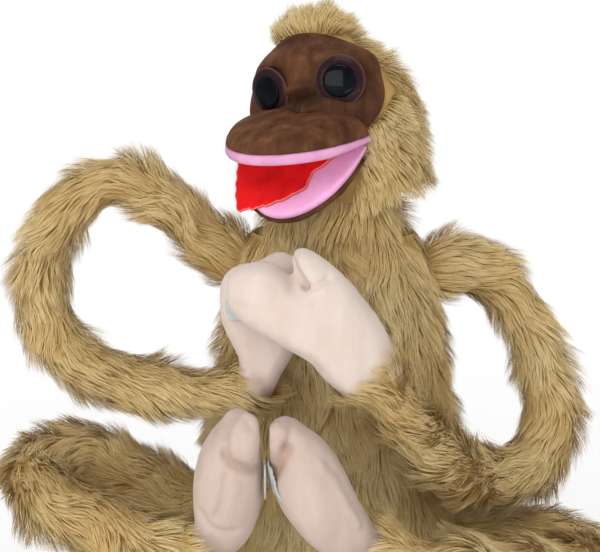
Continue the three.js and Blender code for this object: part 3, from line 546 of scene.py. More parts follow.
def grow_fur(name, grid, hairs_per_cm2, seed, keep=None, long_mm=28, rise=0.5, wide_mm=0.5,
             tip_rise=0.10, droop=0.18, shape=None):
    """A piece of pile on a grid of cloth: one mesh of thin ribbons."""
    points, faces, combed = grid
    quads = np.array(faces)
    cross = np.cross(points[quads[:, 2]] - points[quads[:, 0]], points[quads[:, 3]] - points[quads[:, 1]])
    area = np.linalg.norm(cross, axis=1).sum() / 2
    density = hairs_per_cm2 * 1.0
    wide_mm = wide_mm * 1.0
    count = min(int(area * 1e4 * density), most_planted)
    roots, normals, flow = plant(points, faces, combed, count, seed)
    if keep is not None:
        kept = keep(roots)
        roots, normals, flow = roots[kept], normals[kept], flow[kept]
    roots, normals, flow = roots[:hairs_per_piece], normals[:hairs_per_piece], flow[:hairs_per_piece]
    count = len(roots)
    random = np.random.default_rng(seed + 1)
    bias = soft_noise(roots, 42, 5) * 0.30 + soft_noise(roots, 15, 6) * 0.12
    flow = unit(flow + bias)
    long_share, rise_share = shape(roots) if shape else (np.ones(count), np.ones(count))
    lift = (rise * rise_share)[:, None]
    first = unit(normals * lift + flow * (1 - lift) + random.normal(size=(count, 3)) * 0.08)
    last = unit(normals * tip_rise * rise_share[:, None] + flow * 0.9 - up * droop + bias * 0.5
                + random.normal(size=(count, 3)) * 0.12)
    length = long_mm * mm * random.uniform(0.70, 1.08, (count, 1, 1)) * long_share[:, None, None]
    length = length * (1 + 0.14 * soft_noise(roots, 12, 7)[:, :1, None])
    t = np.linspace(0, 1, hair_steps)[None, :, None]
    curves = roots[:, None] + length * (first[:, None] * (t - t * t / 2) + last[:, None] * (t * t / 2))
    curves, _ = gathered(curves, area, 3.0, 0.38, 1.3, seed + 2)
    curves, lock = gathered(curves, area, 9, 0.30, 1.5, seed + 3)
    curves, _ = gathered(curves, area, 21, 0.15, 1.4, seed + 5)
    curves[..., 2] = np.maximum(curves[..., 2], 1 * mm)   # hair that meets the floor lies on it
    along = unit(np.gradient(curves, axis=1))
    facing = unit(normals[:, None] + random.normal(size=(count, 1, 3)) * 0.25)
    across = unit(np.cross(along, facing))
    profile = np.array([0.9, 1.0, 0.85, 0.6, 0.12])[None, :, None]
    half = across * (wide_mm * mm / 2) * profile * random.uniform(0.7, 1.2, (count, 1, 1))
    rails = np.stack([curves - half, curves + half], axis=2).reshape(-1, 3)
    base = (np.arange(count) * hair_steps * 2)[:, None]
    quad = np.array([[2 * k, 2 * k + 1, 2 * k + 3, 2 * k + 2] for k in range(hair_steps - 1)])
    ribbon_faces = (base[:, :, None] + quad[None]).reshape(-1, 4)
    lock_shade = np.random.default_rng(seed + 4).uniform(0, 1, count)[lock]
    shade = (0.5 + 0.24 * soft_noise(roots, 60, 8)[:, 0] + 0.20 * (lock_shade - 0.5)
             + random.normal(size=count) * 0.10)
    own = unit(np.cross(across, along))
    own *= np.sign((own * normals[:, None]).sum(axis=2, keepdims=True) + 1e-9)
    soft = unit(0.72 * normals[:, None] + 0.28 * own)
    return ribbon_piece(name, rails, ribbon_faces, np.clip(shade, 0.03, 0.97), count, soft)


def ribbon_piece(name, rails, ribbon_faces, shade, count, soft):
    """Builds the ribbons' mesh, with a map of each hair's shade and of the way along it."""
    mesh = bpy.data.meshes.new(name)
    mesh.vertices.add(len(rails))
    mesh.vertices.foreach_set("co", rails.astype(np.float32).ravel())
    mesh.loops.add(ribbon_faces.size)
    mesh.loops.foreach_set("vertex_index", ribbon_faces.astype(np.int32).ravel())
    mesh.polygons.add(len(ribbon_faces))
    mesh.polygons.foreach_set("loop_start", np.arange(0, ribbon_faces.size, 4, dtype=np.int32))
    mesh.polygons.foreach_set("use_smooth", np.ones(len(ribbon_faces), dtype=bool))
    mesh.update(calc_edges=True)
    # The pile is shaded partly as one soft surface, since light passes on from hair to hair.
    mesh.normals_split_custom_set_from_vertices(np.repeat(soft, 2, axis=1).reshape(-1, 3).tolist())
    place = np.tile(np.repeat(np.linspace(0.02, 0.98, hair_steps), 2), count)
    edge = np.tile(np.tile([-0.004, 0.004], hair_steps), count)
    tint = np.repeat(shade, hair_steps * 2) + edge
    corner = np.stack([tint, place], axis=1)[ribbon_faces.ravel()].astype(np.float32).ravel()
    for layer_name in ("OFBake", "strand"):
        mesh.uv_layers.new(name=layer_name).data.foreach_set("uv", corner)
    mesh.materials.append(fur_pile)
    piece = bpy.data.objects.new(name, mesh)
    scene.collection.objects.link(piece)
    print(name, "has", count, "hairs")
    return piece


# %% [markdown]
# ## The limbs
# Each arm and leg is one sewn fur tube that bends where it likes. The jointed frame bends it
# at a few seams, so the fur is cut halfway between the seams, where its two edges always move
# together. A length that spans a seam is left where it lies; one on a single body is fixed to it.

# %% Limb fur
pile_depth = 12
hairs_per_cm2 = 40
raised_shoulder = 15


def inside_body(points, margin_mm):
    rows = np.asarray(body_rows, float)
    height = np.clip(points[:, 2] / mm, rows[0, 0], rows[-1, 0])
    sizes = through(rows, np.interp(height, rows[:, 0], np.arange(len(rows))))
    x = points[:, 0] / mm / (sizes[:, 1] + margin_mm)
    y = (points[:, 1] / mm - sizes[:, 3]) / (sizes[:, 2] + margin_mm)
    return (x * x + y * y < 1) & (points[:, 2] / mm < rows[-1, 0] + margin_mm)


def near_limb(points, rows, start, end, margin_mm):
    """Which points lie inside a limb's tube, grown by a margin."""
    middle, half, deep, along, side, depth = limb_frames(rows, np.linspace(start, end, 40))
    hit = np.zeros(len(points), bool)
    for m, h, d, a, s, e in zip(middle, half, deep, along, side, depth):
        offset = points - m
        x = offset @ s / (h + margin_mm * mm)
        y = offset @ e / (d + margin_mm * mm)
        hit |= (x * x + y * y < 1) & (np.abs(offset @ a) < 8 * mm)
    return hit


def dress_limb(side, length_name, rows, start, end, bodies, nodes, flare, seed):
    """The backing and the pile of one length of limb, riding one body, or left in place across a seam."""
    thick_top = raised_shoulder if length_name == "shoulder" else 0
    grid = limb_grid(rows, start, end, pile_depth, flare, thick_top)
    backing = new_piece(f"{side}_{length_name}_backing", grid[0], grid[1], fur_backing)
    outside = lambda roots: ~inside_body(roots, -12)
    pile = grow_fur(f"{side}_{length_name}_pile", grid, hairs_per_cm2, seed, keep=outside)
    for piece in (backing, pile):
        if len(bodies) == 1:
            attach(piece, bodies[0])
            continue
        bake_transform(piece)
    if nodes:
        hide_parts(*nodes)


# Side, name, rows, first and last row, bodies, the row of the seam, nodes, and flare of a cuff
limb_lengths = [
    ("right", "shoulder", right_arm_rows, 0.4, 2.6, ("torso", "right_upper_arm"), 1,
     ["right_upper_arm"], 0),
    ("right", "upper_elbow", right_arm_rows, 2.6, 5.6, ("right_upper_arm", "right_middle_arm"), 4,
     ["right_middle_arm"], 0),
    ("right", "lower_elbow", right_arm_rows, 5.6, 8.6, ("right_middle_arm", "right_forearm"), 7,
     ["right_forearm"], 0),
    ("right", "cuff", right_arm_rows, 8.6, 10.3, ("right_forearm",), None, None, 11),
    ("left", "shoulder", left_arm_rows, 0.4, 3.4, ("torso", "left_upper_arm"), 1, ["left_upper_arm"], 0),
    ("left", "elbow", left_arm_rows, 3.4, 8.4, ("left_upper_arm", "left_forearm"), 7,
     ["left_middle_arm", "left_forearm"], 0),
    ("left", "cuff", left_arm_rows, 8.4, 10.25, ("left_forearm",), None, None, 15),
    ("right", "hip", right_leg_rows, 0.4, 2.6, ("torso", "right_thigh"), 1, ["right_thigh"], 0),
    ("right", "knee", right_leg_rows, 2.6, 6.2, ("right_thigh", "right_shin"), 4, ["right_shin"], 0),
    ("right", "ankle_cuff", right_leg_rows, 6.2, 8.3, ("right_shin",), None, None, 9),
    ("left", "hip", left_leg_rows, 0.4, 2.6, ("torso", "left_thigh"), 1, ["left_thigh"], 0),
    ("left", "knee", left_leg_rows, 2.6, 5.6, ("left_thigh", "left_shin"), 4, ["left_shin"], 0),
    ("left", "ankle_cuff", left_leg_rows, 5.6, 7.75, ("left_shin",), None, None, 9),
]
for i, (side, length_name, rows, start, end, bodies, seam_row, nodes, flare) in enumerate(limb_lengths):
    dress_limb(side, length_name, rows, start, end, bodies, nodes, flare, 100 + 10 * i)
print(len(limb_lengths), "lengths of limb dressed")

# %% Body fur
body_inset = 10
joined_limbs = (right_arm_rows, left_arm_rows, right_leg_rows, left_leg_rows)
opening_half_width, opening_half_height, opening_z = 43, 50, 118


def body_keep(roots):
    """No pile is planted under the ends of the limbs or across the opening at the back."""
    hidden = np.any([near_limb(roots, rows, 0.5, 1.6, -10) for rows in joined_limbs], axis=0)
    x, z = roots[:, 0] / mm, roots[:, 2] / mm
    across = x / (opening_half_width + 1)
    in_opening = (roots[:, 1] > 0.02) & (across ** 2 + ((z - opening_z) / opening_half_height) ** 2 < 1)
    return ~hidden & ~in_opening


def combed_down(points):
    outward = unit(points * np.array([1, 1, 0]))
    return unit(np.array([0, 0, -1.0]) + 0.15 * outward)


body_parts = [("front", -math.pi, 0, ["body_front", "body_stuffing"]),
              ("back_left", 0, math.pi / 2, ["body_back_left"]),
              ("back_right", math.pi / 2, math.pi, ["body_back_right"])]
for i, (part, from_turn, to_turn, nodes) in enumerate(body_parts):
    points, faces = level_grid(body_rows, 2, 299, body_inset, start_turn=from_turn, end_turn=to_turn)
    backing = new_piece(f"body_{part}_backing", points, faces, fur_backing)
    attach(backing, "torso")
    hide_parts(*nodes)
    # The front's pile is planted in two halves, because it is the largest panel.
    ends = [from_turn, (from_turn + to_turn) / 2, to_turn] if part == "front" else [from_turn, to_turn]
    for k, (low_turn, high_turn) in enumerate(zip(ends[:-1], ends[1:])):
        points, faces = level_grid(body_rows, 2, 299, body_inset, start_turn=low_turn, end_turn=high_turn)
        pile = grow_fur(f"body_{part}_pile_{k + 1}", (points, faces, combed_down(points)), hairs_per_cm2,
                        400 + 10 * i + 5 * k, keep=body_keep, rise=0.5, droop=0.3)
        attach(pile, "torso")

# %% [markdown]
# ## The head
# The hood is fur sewn round an oval face panel. Its pile stands up and back from the panel's
# edge and falls down at the sides, where it covers the neck.

# %% Hood
def placed(points_mm, matrix):
    """Places in a part's own frame, in millimetres, moved into the puppet's frame."""
    matrix = np.array(matrix)
    return np.asarray(points_mm) * mm @ matrix[:3, :3].T + matrix[:3, 3]


def in_head(points_mm):
    return placed(points_mm, head_matrix)


def to_head(points):
    matrix = np.array(head_matrix.inverted())
    return (points @ matrix[:3, :3].T + matrix[:3, 3]) / mm


face_half_width, face_half_height, face_centre = 62, 47, 19


def face_reach(turn):
    """How far the panel's edge reaches at each turn, as a share of a plain oval."""
    near = lambda middle, wide: np.exp(-(((turn - math.radians(middle) + math.pi) % (2 * math.pi) - math.pi)
                                         / math.radians(wide)) ** 2)
    return 1 + 0.14 * near(140, 32) + 0.05 * near(-38, 18) - 0.06 * near(8, 22) - 0.06 * near(52, 24)


def in_face(local, grow=0):
    x, z = local[:, 0] / (face_half_width + grow), (local[:, 2] - face_centre) / (face_half_height + grow)
    return (np.hypot(x, z) < face_reach(np.arctan2(z, x))) & (local[:, 1] < 0)


hood_inset = 11
points, faces = level_grid(head_rows + [(80, 3, 4, 6)], -72, 80, hood_inset, step_mm=4)
local = points / mm
kept_faces = [f for f in faces if not in_face(local[list(f)], -5).all()]
# The crown is a little flatter beside the left brow, and fuller over the right temple.
back_left = (np.clip((local[:, 2] - 5) / 45, 0, 1)
             * np.clip((0.81 * local[:, 0] + 0.59 * local[:, 1]) / 30, 0, 1))
temple = np.exp(-((local[:, 0] + 44) / 22) ** 2 - ((local[:, 2] - 60) / 20) ** 2)
back_left *= 1 - np.exp(-np.clip(local[:, 1] + 30, 0, None) / 12)
local = local + unit(local) * (9 * temple - 15 * back_left)[:, None]
from_face = unit(local - np.array([0, -60, face_centre]))
fall = np.array([0, 0, -1.0])
top_share = np.clip((local[:, 2:3] - 20) / 50, 0, 1)
combed = unit(from_face * (0.5 + 0.5 * top_share) + fall * (1.1 - 0.9 * top_share))
points = in_head(local)
combed = combed @ np.array(head_turn.to_3x3()).T
grid = (points, kept_faces, combed)
hood_backing = new_piece("hood_backing", points, kept_faces, fur_backing)
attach(hood_backing, "head")
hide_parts("head_hood", "head_stuffing_right", "head_stuffing_left")


def hood_keep(roots):
    local = to_head(roots)
    mouth = (local[:, 1] < -40) & (local[:, 2] < -10)
    return ~in_face(local, -1) & ~mouth


def hood_shape(roots):
    """Shares of length and of rise: a tuft over the right brow, and short pile by the face."""
    local = to_head(roots)
    tuft = np.exp(-((local[:, 0] + 30) / 30) ** 2) * np.clip((local[:, 2] - 40) / 20, 0, 1)
    tuft *= np.clip((20 - local[:, 1]) / 30, 0, 1)
    edge = np.hypot(local[:, 0] / face_half_width, (local[:, 2] - face_centre) / face_half_height)
    beside = np.clip((edge - 1.05) / 0.25, 0, 1) * (local[:, 1] < 0) + (local[:, 1] >= 0)
    return (0.8 + 0.2 * beside) * (1 + 0.5 * tuft), 1 + 0.8 * tuft + 0.1 * (1 - beside)


hood_pile = grow_fur("hood_pile", grid, 46, 500, keep=hood_keep, rise=0.5, droop=0.12, tip_rise=0.2,
                     long_mm=19, shape=hood_shape)
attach(hood_pile, "head")
# The cloth is cut close to the face panel, so its pile stands up all round the panel's edge.
by_the_face = lambda roots: hood_keep(roots) & in_face(to_head(roots), 9)
edge_pile = grow_fur("hood_edge_pile", grid, 85, 560, keep=by_the_face, rise=0.85, tip_rise=0.55,
                     droop=0.05, long_mm=17)
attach(edge_pile, "head")

# %% Neck fur
neck_ring = [(284, 72, 56, -1), (300, 64, 54, -2), (318, 60, 57, -2), (334, 54, 53, -2), (352, 50, 49, -2)]
points, faces = level_grid(neck_ring, 284, 352, 8)
grid = (points, faces, combed_down(points))
neck_backing = new_piece("neck_backing", points, faces, fur_backing)
neck_pile = grow_fur("neck_pile", grid, hairs_per_cm2, 520, rise=0.5, droop=0.3)
for piece in (neck_backing, neck_pile):
    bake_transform(piece)
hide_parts("neck_roll")

# %% [markdown]
# ## Smooth closed forms
# The stuffed face, lips, eyes and mittens are closed forms, drawn as rings of points from one
# pole to the other. Sewn details are pressed in afterwards as strokes: a line on the cloth in
# which the surface sinks or rises, and along which shade can be painted into the crease.

# %% Lofted forms
def lofted_faces(rings, sides, ends):
    faces = grid_faces(rings, sides)
    last = (rings - 1) * sides
    for i in range(sides):
        j = (i + 1) % sides
        if ends == "loop":
            faces.append((last + i, last + j, j, i))
        if ends == "poles":
            faces.append((rings * sides, j, i))
            faces.append((rings * sides + 1, last + i, last + j))
    return faces


def face_outward(piece):
    made = bmesh.new()
    made.from_mesh(piece.data)
    bmesh.ops.recalc_face_normals(made, faces=made.faces)
    made.to_mesh(piece.data)
    made.free()
    return piece


def lofted(name, rings, material, ends="poles"):
    """A piece skinned over rings of points in metres, with poles or looped like a tube's wall."""
    rings = np.asarray(rings)
    count, sides = rings.shape[:2]
    points = rings.reshape(-1, 3)
    if ends == "poles":
        points = np.vstack([points, rings[0].mean(axis=0), rings[-1].mean(axis=0)])
    piece = new_piece(name, points, lofted_faces(count, sides, ends), material)
    return face_outward(piece)


def read_points(piece):
    points = np.empty(len(piece.data.vertices) * 3)
    piece.data.vertices.foreach_get("co", points)
    return points.reshape(-1, 3)


def write_points(piece, points):
    piece.data.vertices.foreach_set("co", np.asarray(points).ravel())
    piece.data.update()


def read_normals(piece):
    normals = np.empty(len(piece.data.vertices) * 3)
    piece.data.vertex_normals.foreach_get("vector", normals)
    return normals.reshape(-1, 3)


def write_tint(piece, values, name="tint"):
    """Stores a share from 0 to 1 at each point, which a material may read as colour."""
    layer = piece.data.attributes.get(name) or piece.data.attributes.new(name, "FLOAT", "POINT")
    layer.data.foreach_set("value", np.clip(values, 0, 1).astype(np.float32))


def read_tint(piece, name="tint"):
    layer = piece.data.attributes.get(name)
    values = np.zeros(len(piece.data.vertices))
    if layer:
        layer.data.foreach_get("value", values)
    return values


def stroke_share(flat, line, width_mm):
    """How near each flat point lies to a line of points, from 1 on it to 0 beyond its width."""
    line = np.asarray(line, float)
    best = np.full(len(flat), 1e9)
    for a, b in zip(line[:-1], line[1:]):
        span = b - a
        t = np.clip(((flat - a) @ span) / max(span @ span, 1e-9), 0, 1)[:, None]
        best = np.minimum(best, np.linalg.norm(flat - a - t * span, axis=1))
    return np.exp(-(best / width_mm) ** 2)


def apply_modifiers(piece):
    """Keeps the piece's shape as its modifiers show it, and removes them."""
    graph = bpy.context.evaluated_depsgraph_get()
    shown = bpy.data.meshes.new_from_object(piece.evaluated_get(graph))
    piece.modifiers.clear()
    old = piece.data
    piece.data = shown
    shown.name = piece.name
    bpy.data.meshes.remove(old)
    shown.polygons.foreach_set("use_smooth", [True] * len(shown.polygons))

# %% [markdown]
# ## The face panel
# One oval of brown velboa is sewn into the hood. Stuffing pushes it out into a brow, a small
# nose fold and cheeks, and pulls it in round the eye shanks and under the nose. It is made as
# rings spreading from the middle of the face, laid on the head's form and then pushed in and
# out by a few soft swells, with a thin second side so that it is a real cloth.

# %% Face
eye_places = [(-24, 26), (38.5, 27)]
eye_turns_out = [9, 22]
# Middle (x, z), radii, height and turn of each swell
full_side = [((-50, 8), (16, 34), 15.0, 0), ((-46, 60), (22, 20), 9.0, 0)]
nose_folds = [((7, 36), (6, 12), 2.4, -8), ((6, 27), (13, 3.6), 8.0, 8),
              ((7, 17.5), (16, 4.6), -5.6, 4), ((14, 8.5), (12, 3.4), 4.8, 8),
              ((-9, 9), (8, 4.2), 2.6, -10), ((1, 5), (9, 4.0), -2.6, 0),
              ((46, -1), (15, 2.6), -1.8, -25), ((-42, 1), (15, 2.6), -1.8, 25)]


def swell(flat, centre, radii, height, turn=0.0):
    """A soft round rise of a given height over an oval in the panel's flat (x, z)."""
    offset = flat - np.asarray(centre, float)
    cos, sin = math.cos(math.radians(turn)), math.sin(math.radians(turn))
    across = (offset[:, 0] * cos + offset[:, 1] * sin) / radii[0]
    upward = (-offset[:, 0] * sin + offset[:, 1] * cos) / radii[1]
    return height * np.exp(-(across ** 2 + upward ** 2))


def face_form(flat, inset):
    """Places on the head's form in front of its middle, in millimetres of the head's frame."""
    rows = np.asarray(head_rows, float)
    sizes = through(rows, np.interp(flat[:, 1], rows[:, 0], np.arange(len(rows))))
    half, deep, back = sizes[:, 1] - inset, sizes[:, 2] - inset, sizes[:, 3]
    share = np.clip(1 - (flat[:, 0] / half) ** 2, 0.0, None)
    return np.stack([flat[:, 0], back - deep * np.sqrt(share), flat[:, 1]], axis=1)


def face_relief(flat):
    """How far the stuffed face stands out of the plain form, in millimetres."""
    x = flat[:, 0]
    brow_line = 52 - 0.0045 * x ** 2
    relief = 4.6 * np.exp(-((flat[:, 1] - brow_line) / 7.0) ** 2)
    relief -= 2.4 * np.exp(-((flat[:, 1] - brow_line - 12) / 3.6) ** 2)
    for form in full_side:
        relief += swell(flat, *form)
    for centre in eye_places:
        relief += swell(flat, centre, (20, 19), -3.4)
        relief += swell(flat, (centre[0], centre[1] + 20), (15, 4.5), 3.6)
        relief += swell(flat, (centre[0] * 1.15, centre[1] - 25), (17, 7), 3.0)
    for form in nose_folds:
        relief += swell(flat, *form)
    ripple = soft_noise(np.stack([x, x * 0, flat[:, 1]], axis=1) * mm, 16, 71)[:, 0]
    return relief + 0.35 * ripple


panel_rings, panel_sides = 46, 120
ring_share = np.linspace(0.02, 1, panel_rings)[:, None]
around = np.linspace(0, 2 * math.pi, panel_sides, endpoint=False)[None]
reach = 1 + (face_reach(around) - 1) * ring_share
flat = np.stack([(face_half_width * reach * ring_share * np.cos(around)).ravel(),
                 (face_centre + face_half_height * reach * ring_share * np.sin(around)).ravel()], axis=1)
edge = np.repeat(ring_share.ravel(), panel_sides)
tucked = 3.5 * np.clip((edge - 0.90) / 0.10, 0, 1) ** 2
outer = face_form(flat, 4)
outer[:, 1] += tucked - face_relief(flat) * np.clip((1 - edge) / 0.12, 0, 1)
inner = outer + np.array([0, 3.0, 0])
rings = np.concatenate([outer.reshape(panel_rings, panel_sides, 3),
                        inner.reshape(panel_rings, panel_sides, 3)[::-1]])
face_panel = lofted("face_panel_velboa", in_head(rings), brown_velboa)
# Painted shade darkens the panel where shade falls: beside the nose fold, under it, along the lip,
# in the fold over the brow and round the eye sockets.
painted_face_shade = (swell(flat, (7, 17.5), (17, 5), 0.85, turn=4) + swell(flat, (-3, 7), (9, 5), 0.8)
        + swell(flat, (20, -1), (40, 5), 0.7, turn=-6)
        + 0.5 * np.exp(-((flat[:, 1] - 63.5 + 0.0045 * flat[:, 0] ** 2) / 2.4) ** 2))
for centre in eye_places:
    painted_face_shade += swell(flat, (centre[0], centre[1] + 1), (23, 22), 0.4)
painted_face_shade_inside = painted_face_shade.reshape(panel_rings, panel_sides)[::-1].ravel()
write_tint(face_panel, np.concatenate([painted_face_shade, painted_face_shade_inside, [0, 0]]))
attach(face_panel, "head")
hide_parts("face_panel")
print("face panel", 2 * face_half_width, "by", 2 * face_half_height, "mm")

# %% [markdown]
# The nostrils are two short hand stitches of black thread, pulled tight just above the lip.

# %% Nostril stitches
def thread_stitch(name, a, b, arch_mm, thick_mm=1.1):
    """A short bowed stitch between two places on the face, as a round thread."""
    a, b = np.asarray(a, float), np.asarray(b, float)
    t = np.linspace(0, 1, 12)[:, None]
    middle = a + (b - a) * t + np.array([0, -1.0, 0]) * arch_mm * np.sin(math.pi * t)
    along = unit(np.gradient(middle, axis=0))
    side = unit(np.cross(along, [0, 1.0, 0.001]))
    lift = np.cross(side, along)
    turn = np.linspace(0, 2 * math.pi, 10, endpoint=False)[None, :, None]
    thick = (thick_mm / 2) * np.sqrt(np.clip(1.02 - (2 * t - 1) ** 4, 0.02, 1))[:, None]
    rings = middle[:, None] + thick * (side[:, None] * np.cos(turn) + lift[:, None] * np.sin(turn))
    stitch = lofted(name, in_head(rings), black_thread)
    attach(stitch, "head")


def on_face(x, z, out_mm=0.3):
    place = face_form(np.array([[x, z]], float), 4)
    place[:, 1] -= face_relief(np.array([[x, z]], float)) + out_mm
    return place[0]


for i, (x, lean) in enumerate([(-3, -2.2), (4.5, 2.2)]):
    thread_stitch(f"nostril_stitch_{i + 1}", on_face(x - 3, 7.0), on_face(x + 3, 9.5), 1.4, thick_mm=1.8)
    thread_stitch(f"nostril_tail_{i + 1}", on_face(x, 8.5), on_face(x + lean, 12.5), 0.9, thick_mm=1.2)

# %% [markdown]
# ## The mouth
# The muzzle is a stuffed half lens of velboa over a board, and the lower jaw is the same turned
# over. Each board is wrapped in pink cloth that shows as a thick lip along the rim. All of
# them share one outline, half an oval closed by a straight back, so one function gives it.

# %% Mouth outlines
muzzle_half, muzzle_reach, muzzle_high = 60, 72, 21
jaw_half, jaw_reach, jaw_pad_deep, jaw_open_angle = 56, 67, 14, 38
mouth_place, hinge_z = Vector((-3, -48, -10.5)), -9.9
# Above 1 the outline runs straighter into the corners of the mouth
muzzle_point, jaw_point = 1.08, 1.4
mouth_yaw, mouth_roll, mouth_pitch = 4, 8, 3
arc_points, back_points = 72, 24
mouth_matrix = (head_matrix @ Matrix.Translation(mouth_place * mm)
                @ Matrix.Rotation(math.radians(mouth_yaw), 4, "Z")
                @ Matrix.Rotation(math.radians(mouth_roll), 4, "Y")
                @ Matrix.Rotation(math.radians(mouth_pitch), 4, "X"))


def lip_ring(half, reach, z, inset=0.0, back=0.0, pointed=1.0):
    """The half-oval outline at one height, closed along its straight back."""
    turn = np.linspace(0, math.pi, arc_points)
    bend = np.sin(turn) ** pointed
    arc = np.stack([-(half - inset) * np.cos(turn), -back - (reach - inset - back) * bend], axis=1)
    share = np.linspace(0, 1, back_points + 2)[1:-1, None]
    line = arc[-1] + (arc[0] - arc[-1]) * share
    flat = np.vstack([arc, line])
    return np.column_stack([flat, np.full(len(flat), z)])


def in_mouth(points_mm):
    return placed(points_mm, mouth_matrix)


jaw_matrix = (mouth_matrix @ Matrix.Translation(Vector((0, 0, hinge_z)) * mm)
              @ Matrix.Rotation(math.radians(jaw_open_angle), 4, "X"))


def in_jaw(points_mm):
    return placed(points_mm, jaw_matrix)


def lip_dome(half, reach, height, pointed, steps=26):
    """Rings of a stuffed half lens, from its flat side's middle round the rim to its top."""
    under = [lip_ring(half * s, reach * s, 0, pointed=pointed) for s in np.linspace(0.05, 0.97, 8)]
    over = []
    for turn in np.linspace(0.02, 0.985, steps) * math.pi / 2:
        share = math.cos(turn) ** 0.75
        over.append(lip_ring(half * share, reach * share, height * math.sin(turn), pointed=pointed))
    return np.array(under + over)


# %% Muzzle and jaw cushion
def puckered(rings, seed, depth_mm=0.35, pitch_mm=7):
    """Shallow puckers where cloth is gathered along the rim of a lip."""
    shape = rings.shape
    flat = rings.reshape(-1, 3)
    wave = soft_noise(flat * np.array([1, 1, 0.3]) * mm, pitch_mm, seed)[:, :1]
    broad = soft_noise(flat * mm, 34, seed + 1)[:, :1]
    outward = unit(flat + np.array([0, 20, 4]))
    rim = np.exp(-(flat[:, 2:3] / 9) ** 2)
    return (flat + outward * (depth_mm * wave * rim + 0.8 * broad * (1 - rim))).reshape(shape)


muzzle_rings = puckered(lip_dome(muzzle_half, muzzle_reach, muzzle_high, muzzle_point), 31)
muzzle = lofted("muzzle_velboa", in_mouth(muzzle_rings.reshape(-1, 3)).reshape(muzzle_rings.shape),
                brown_velboa)
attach(muzzle, "head")
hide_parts("upper_muzzle")

# The jaw's cushion hangs from the rim of its board and is cut back at the throat.
pad_rings = puckered(lip_dome(jaw_half, jaw_reach, jaw_pad_deep, jaw_point), 33)
flat = pad_rings.reshape(-1, 3) * np.array([1, 1, -1])
# Its stuffing bulges out past the lip all round.
corner = np.clip((np.abs(flat[:, 0:1]) / jaw_half - 0.75) / 0.25, 0, 1)
bulge = 1 + 0.075 * np.exp(-((flat[:, 2:3] + 4) / 4.5) ** 2) * (1 - corner)
flat[:, :2] *= bulge
flat[:, 2:3] *= 1 - 0.6 * corner
throat = math.tan(math.radians(90 - 56))
flat[:, 1] = np.minimum(flat[:, 1], flat[:, 2] * throat)
flat[:, 2] -= 6.2
jaw_pad = lofted("jaw_cushion_velboa", in_jaw(flat).reshape(pad_rings.shape), brown_velboa)
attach(jaw_pad, "jaw")
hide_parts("jaw_pad")
print("muzzle", 2 * muzzle_half, "by", muzzle_reach, "mm; jaw", 2 * jaw_half, "by", jaw_reach, "mm")


# %% Pink linings
def wrapped_lining(half, reach, face_z, rim_z, board_inset, board_z, pointed):
    """Cloth over one side of a board and round its rim: rings from its middle to the board.
    It thins toward the corners of the mouth."""
    middle_z = (face_z + rim_z) / 2
    rings = [lip_ring(half * s, reach * s, face_z, pointed=pointed) for s in np.linspace(0.06, 0.9, 12)]
    for turn in np.linspace(0, math.pi, 10):
        z = middle_z + (face_z - middle_z) * math.cos(turn)
        rings.append(lip_ring(half, reach, z, inset=3.6 * (1 - math.sin(turn) ** 0.8), pointed=pointed))
    rings.append(lip_ring(half, reach, rim_z, inset=board_inset, pointed=pointed))
    rings.append(lip_ring(half, reach, board_z, inset=board_inset, pointed=pointed))
    rings += [lip_ring(half * s, reach * s, board_z, pointed=pointed) for s in np.linspace(0.85, 0.06, 8)]
    rings = np.array(rings)
    beyond = np.clip((np.abs(rings[..., 0]) / half - 0.72) / 0.28, 0, 1) ** 1.5
    past_board = rings[..., 2] - board_z
    thinned = past_board * (face_z - board_z) > 0
    rings[..., 2] -= np.where(thinned, past_board * 0.75 * beyond, 0)
    return rings


palate_rings = wrapped_lining(61, 73, -8.6, 0.2, 5, -3.4, muzzle_point)
palate = lofted("palate_lining_cloth", in_mouth(palate_rings.reshape(-1, 3)).reshape(palate_rings.shape),
                palate_cloth_painted_shade)
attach(palate, "head")
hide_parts("palate_lining")

jaw_rings = wrapped_lining(57, 69, -0.3, -7.4, 5, -4.4, jaw_point)
# At the corners of the mouth it rises to meet the lining of the palate.
jaw_rings[..., 2] += 6.5 * np.clip((np.abs(jaw_rings[..., 0]) - 38) / 19, 0, 1) ** 1.6
jaw_lining = lofted("jaw_lining_cloth", in_jaw(jaw_rings.reshape(-1, 3)).reshape(jaw_rings.shape),
                    pink_cloth)
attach(jaw_lining, "jaw")
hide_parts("jaw_lining")

# %% [markdown]
# The tongue is one piece of red felt, cut by hand with a slightly wavy edge. It is sewn in off
# the middle, so on the puppet's right it reaches past the lip, where it sags a little.

# %% Tongue
tongue_thick = 1.6
# Each row from root to tip: the right edge's x and y, then the left edge's, on the jaw
tongue_rows = [(-60, -9, 34, -9), (-56, -19, 27, -18), (-52, -31, 19, -27), (-48, -42, 18, -33),
               (-44, -52, 18.5, -38), (-40, -61, 17.5, -43), (-37, -67, 12, -49)]
tongue_steps, tongue_across = 40, 48
rows = through(tongue_rows, np.linspace(0, len(tongue_rows) - 1, tongue_steps))
share = np.linspace(0, 1, tongue_across)[None]
near_tip = np.clip(np.linspace(-1.6, 1, tongue_steps), 0, 1)[:, None]
x = rows[:, 0:1] + (rows[:, 2:3] - rows[:, 0:1]) * share
y = rows[:, 1:2] + (rows[:, 3:4] - rows[:, 1:2]) * share
wavy = 0.7 * np.sin(x * 0.52) + 0.4 * np.sin(x * 1.1 + 1)
y = y - (wavy + 4.5 * (1 - (2 * share - 1) ** 2)) * near_tip
x = x + 0.5 * np.sin(y * 0.55) * (2 * share - 1)
inside = np.sqrt((x / jaw_half) ** 2 + (y / jaw_reach) ** 2)
sag = -5.0 * np.clip(inside - 1.0, 0, None) ** 1.3 * 4
bow = 0.9 * np.sin(x / 13) * near_tip + 0.5 * np.cos(y / 9)
top = np.stack([x, y, tongue_thick + 0.5 + sag + np.maximum(bow, -0.4)], axis=2)
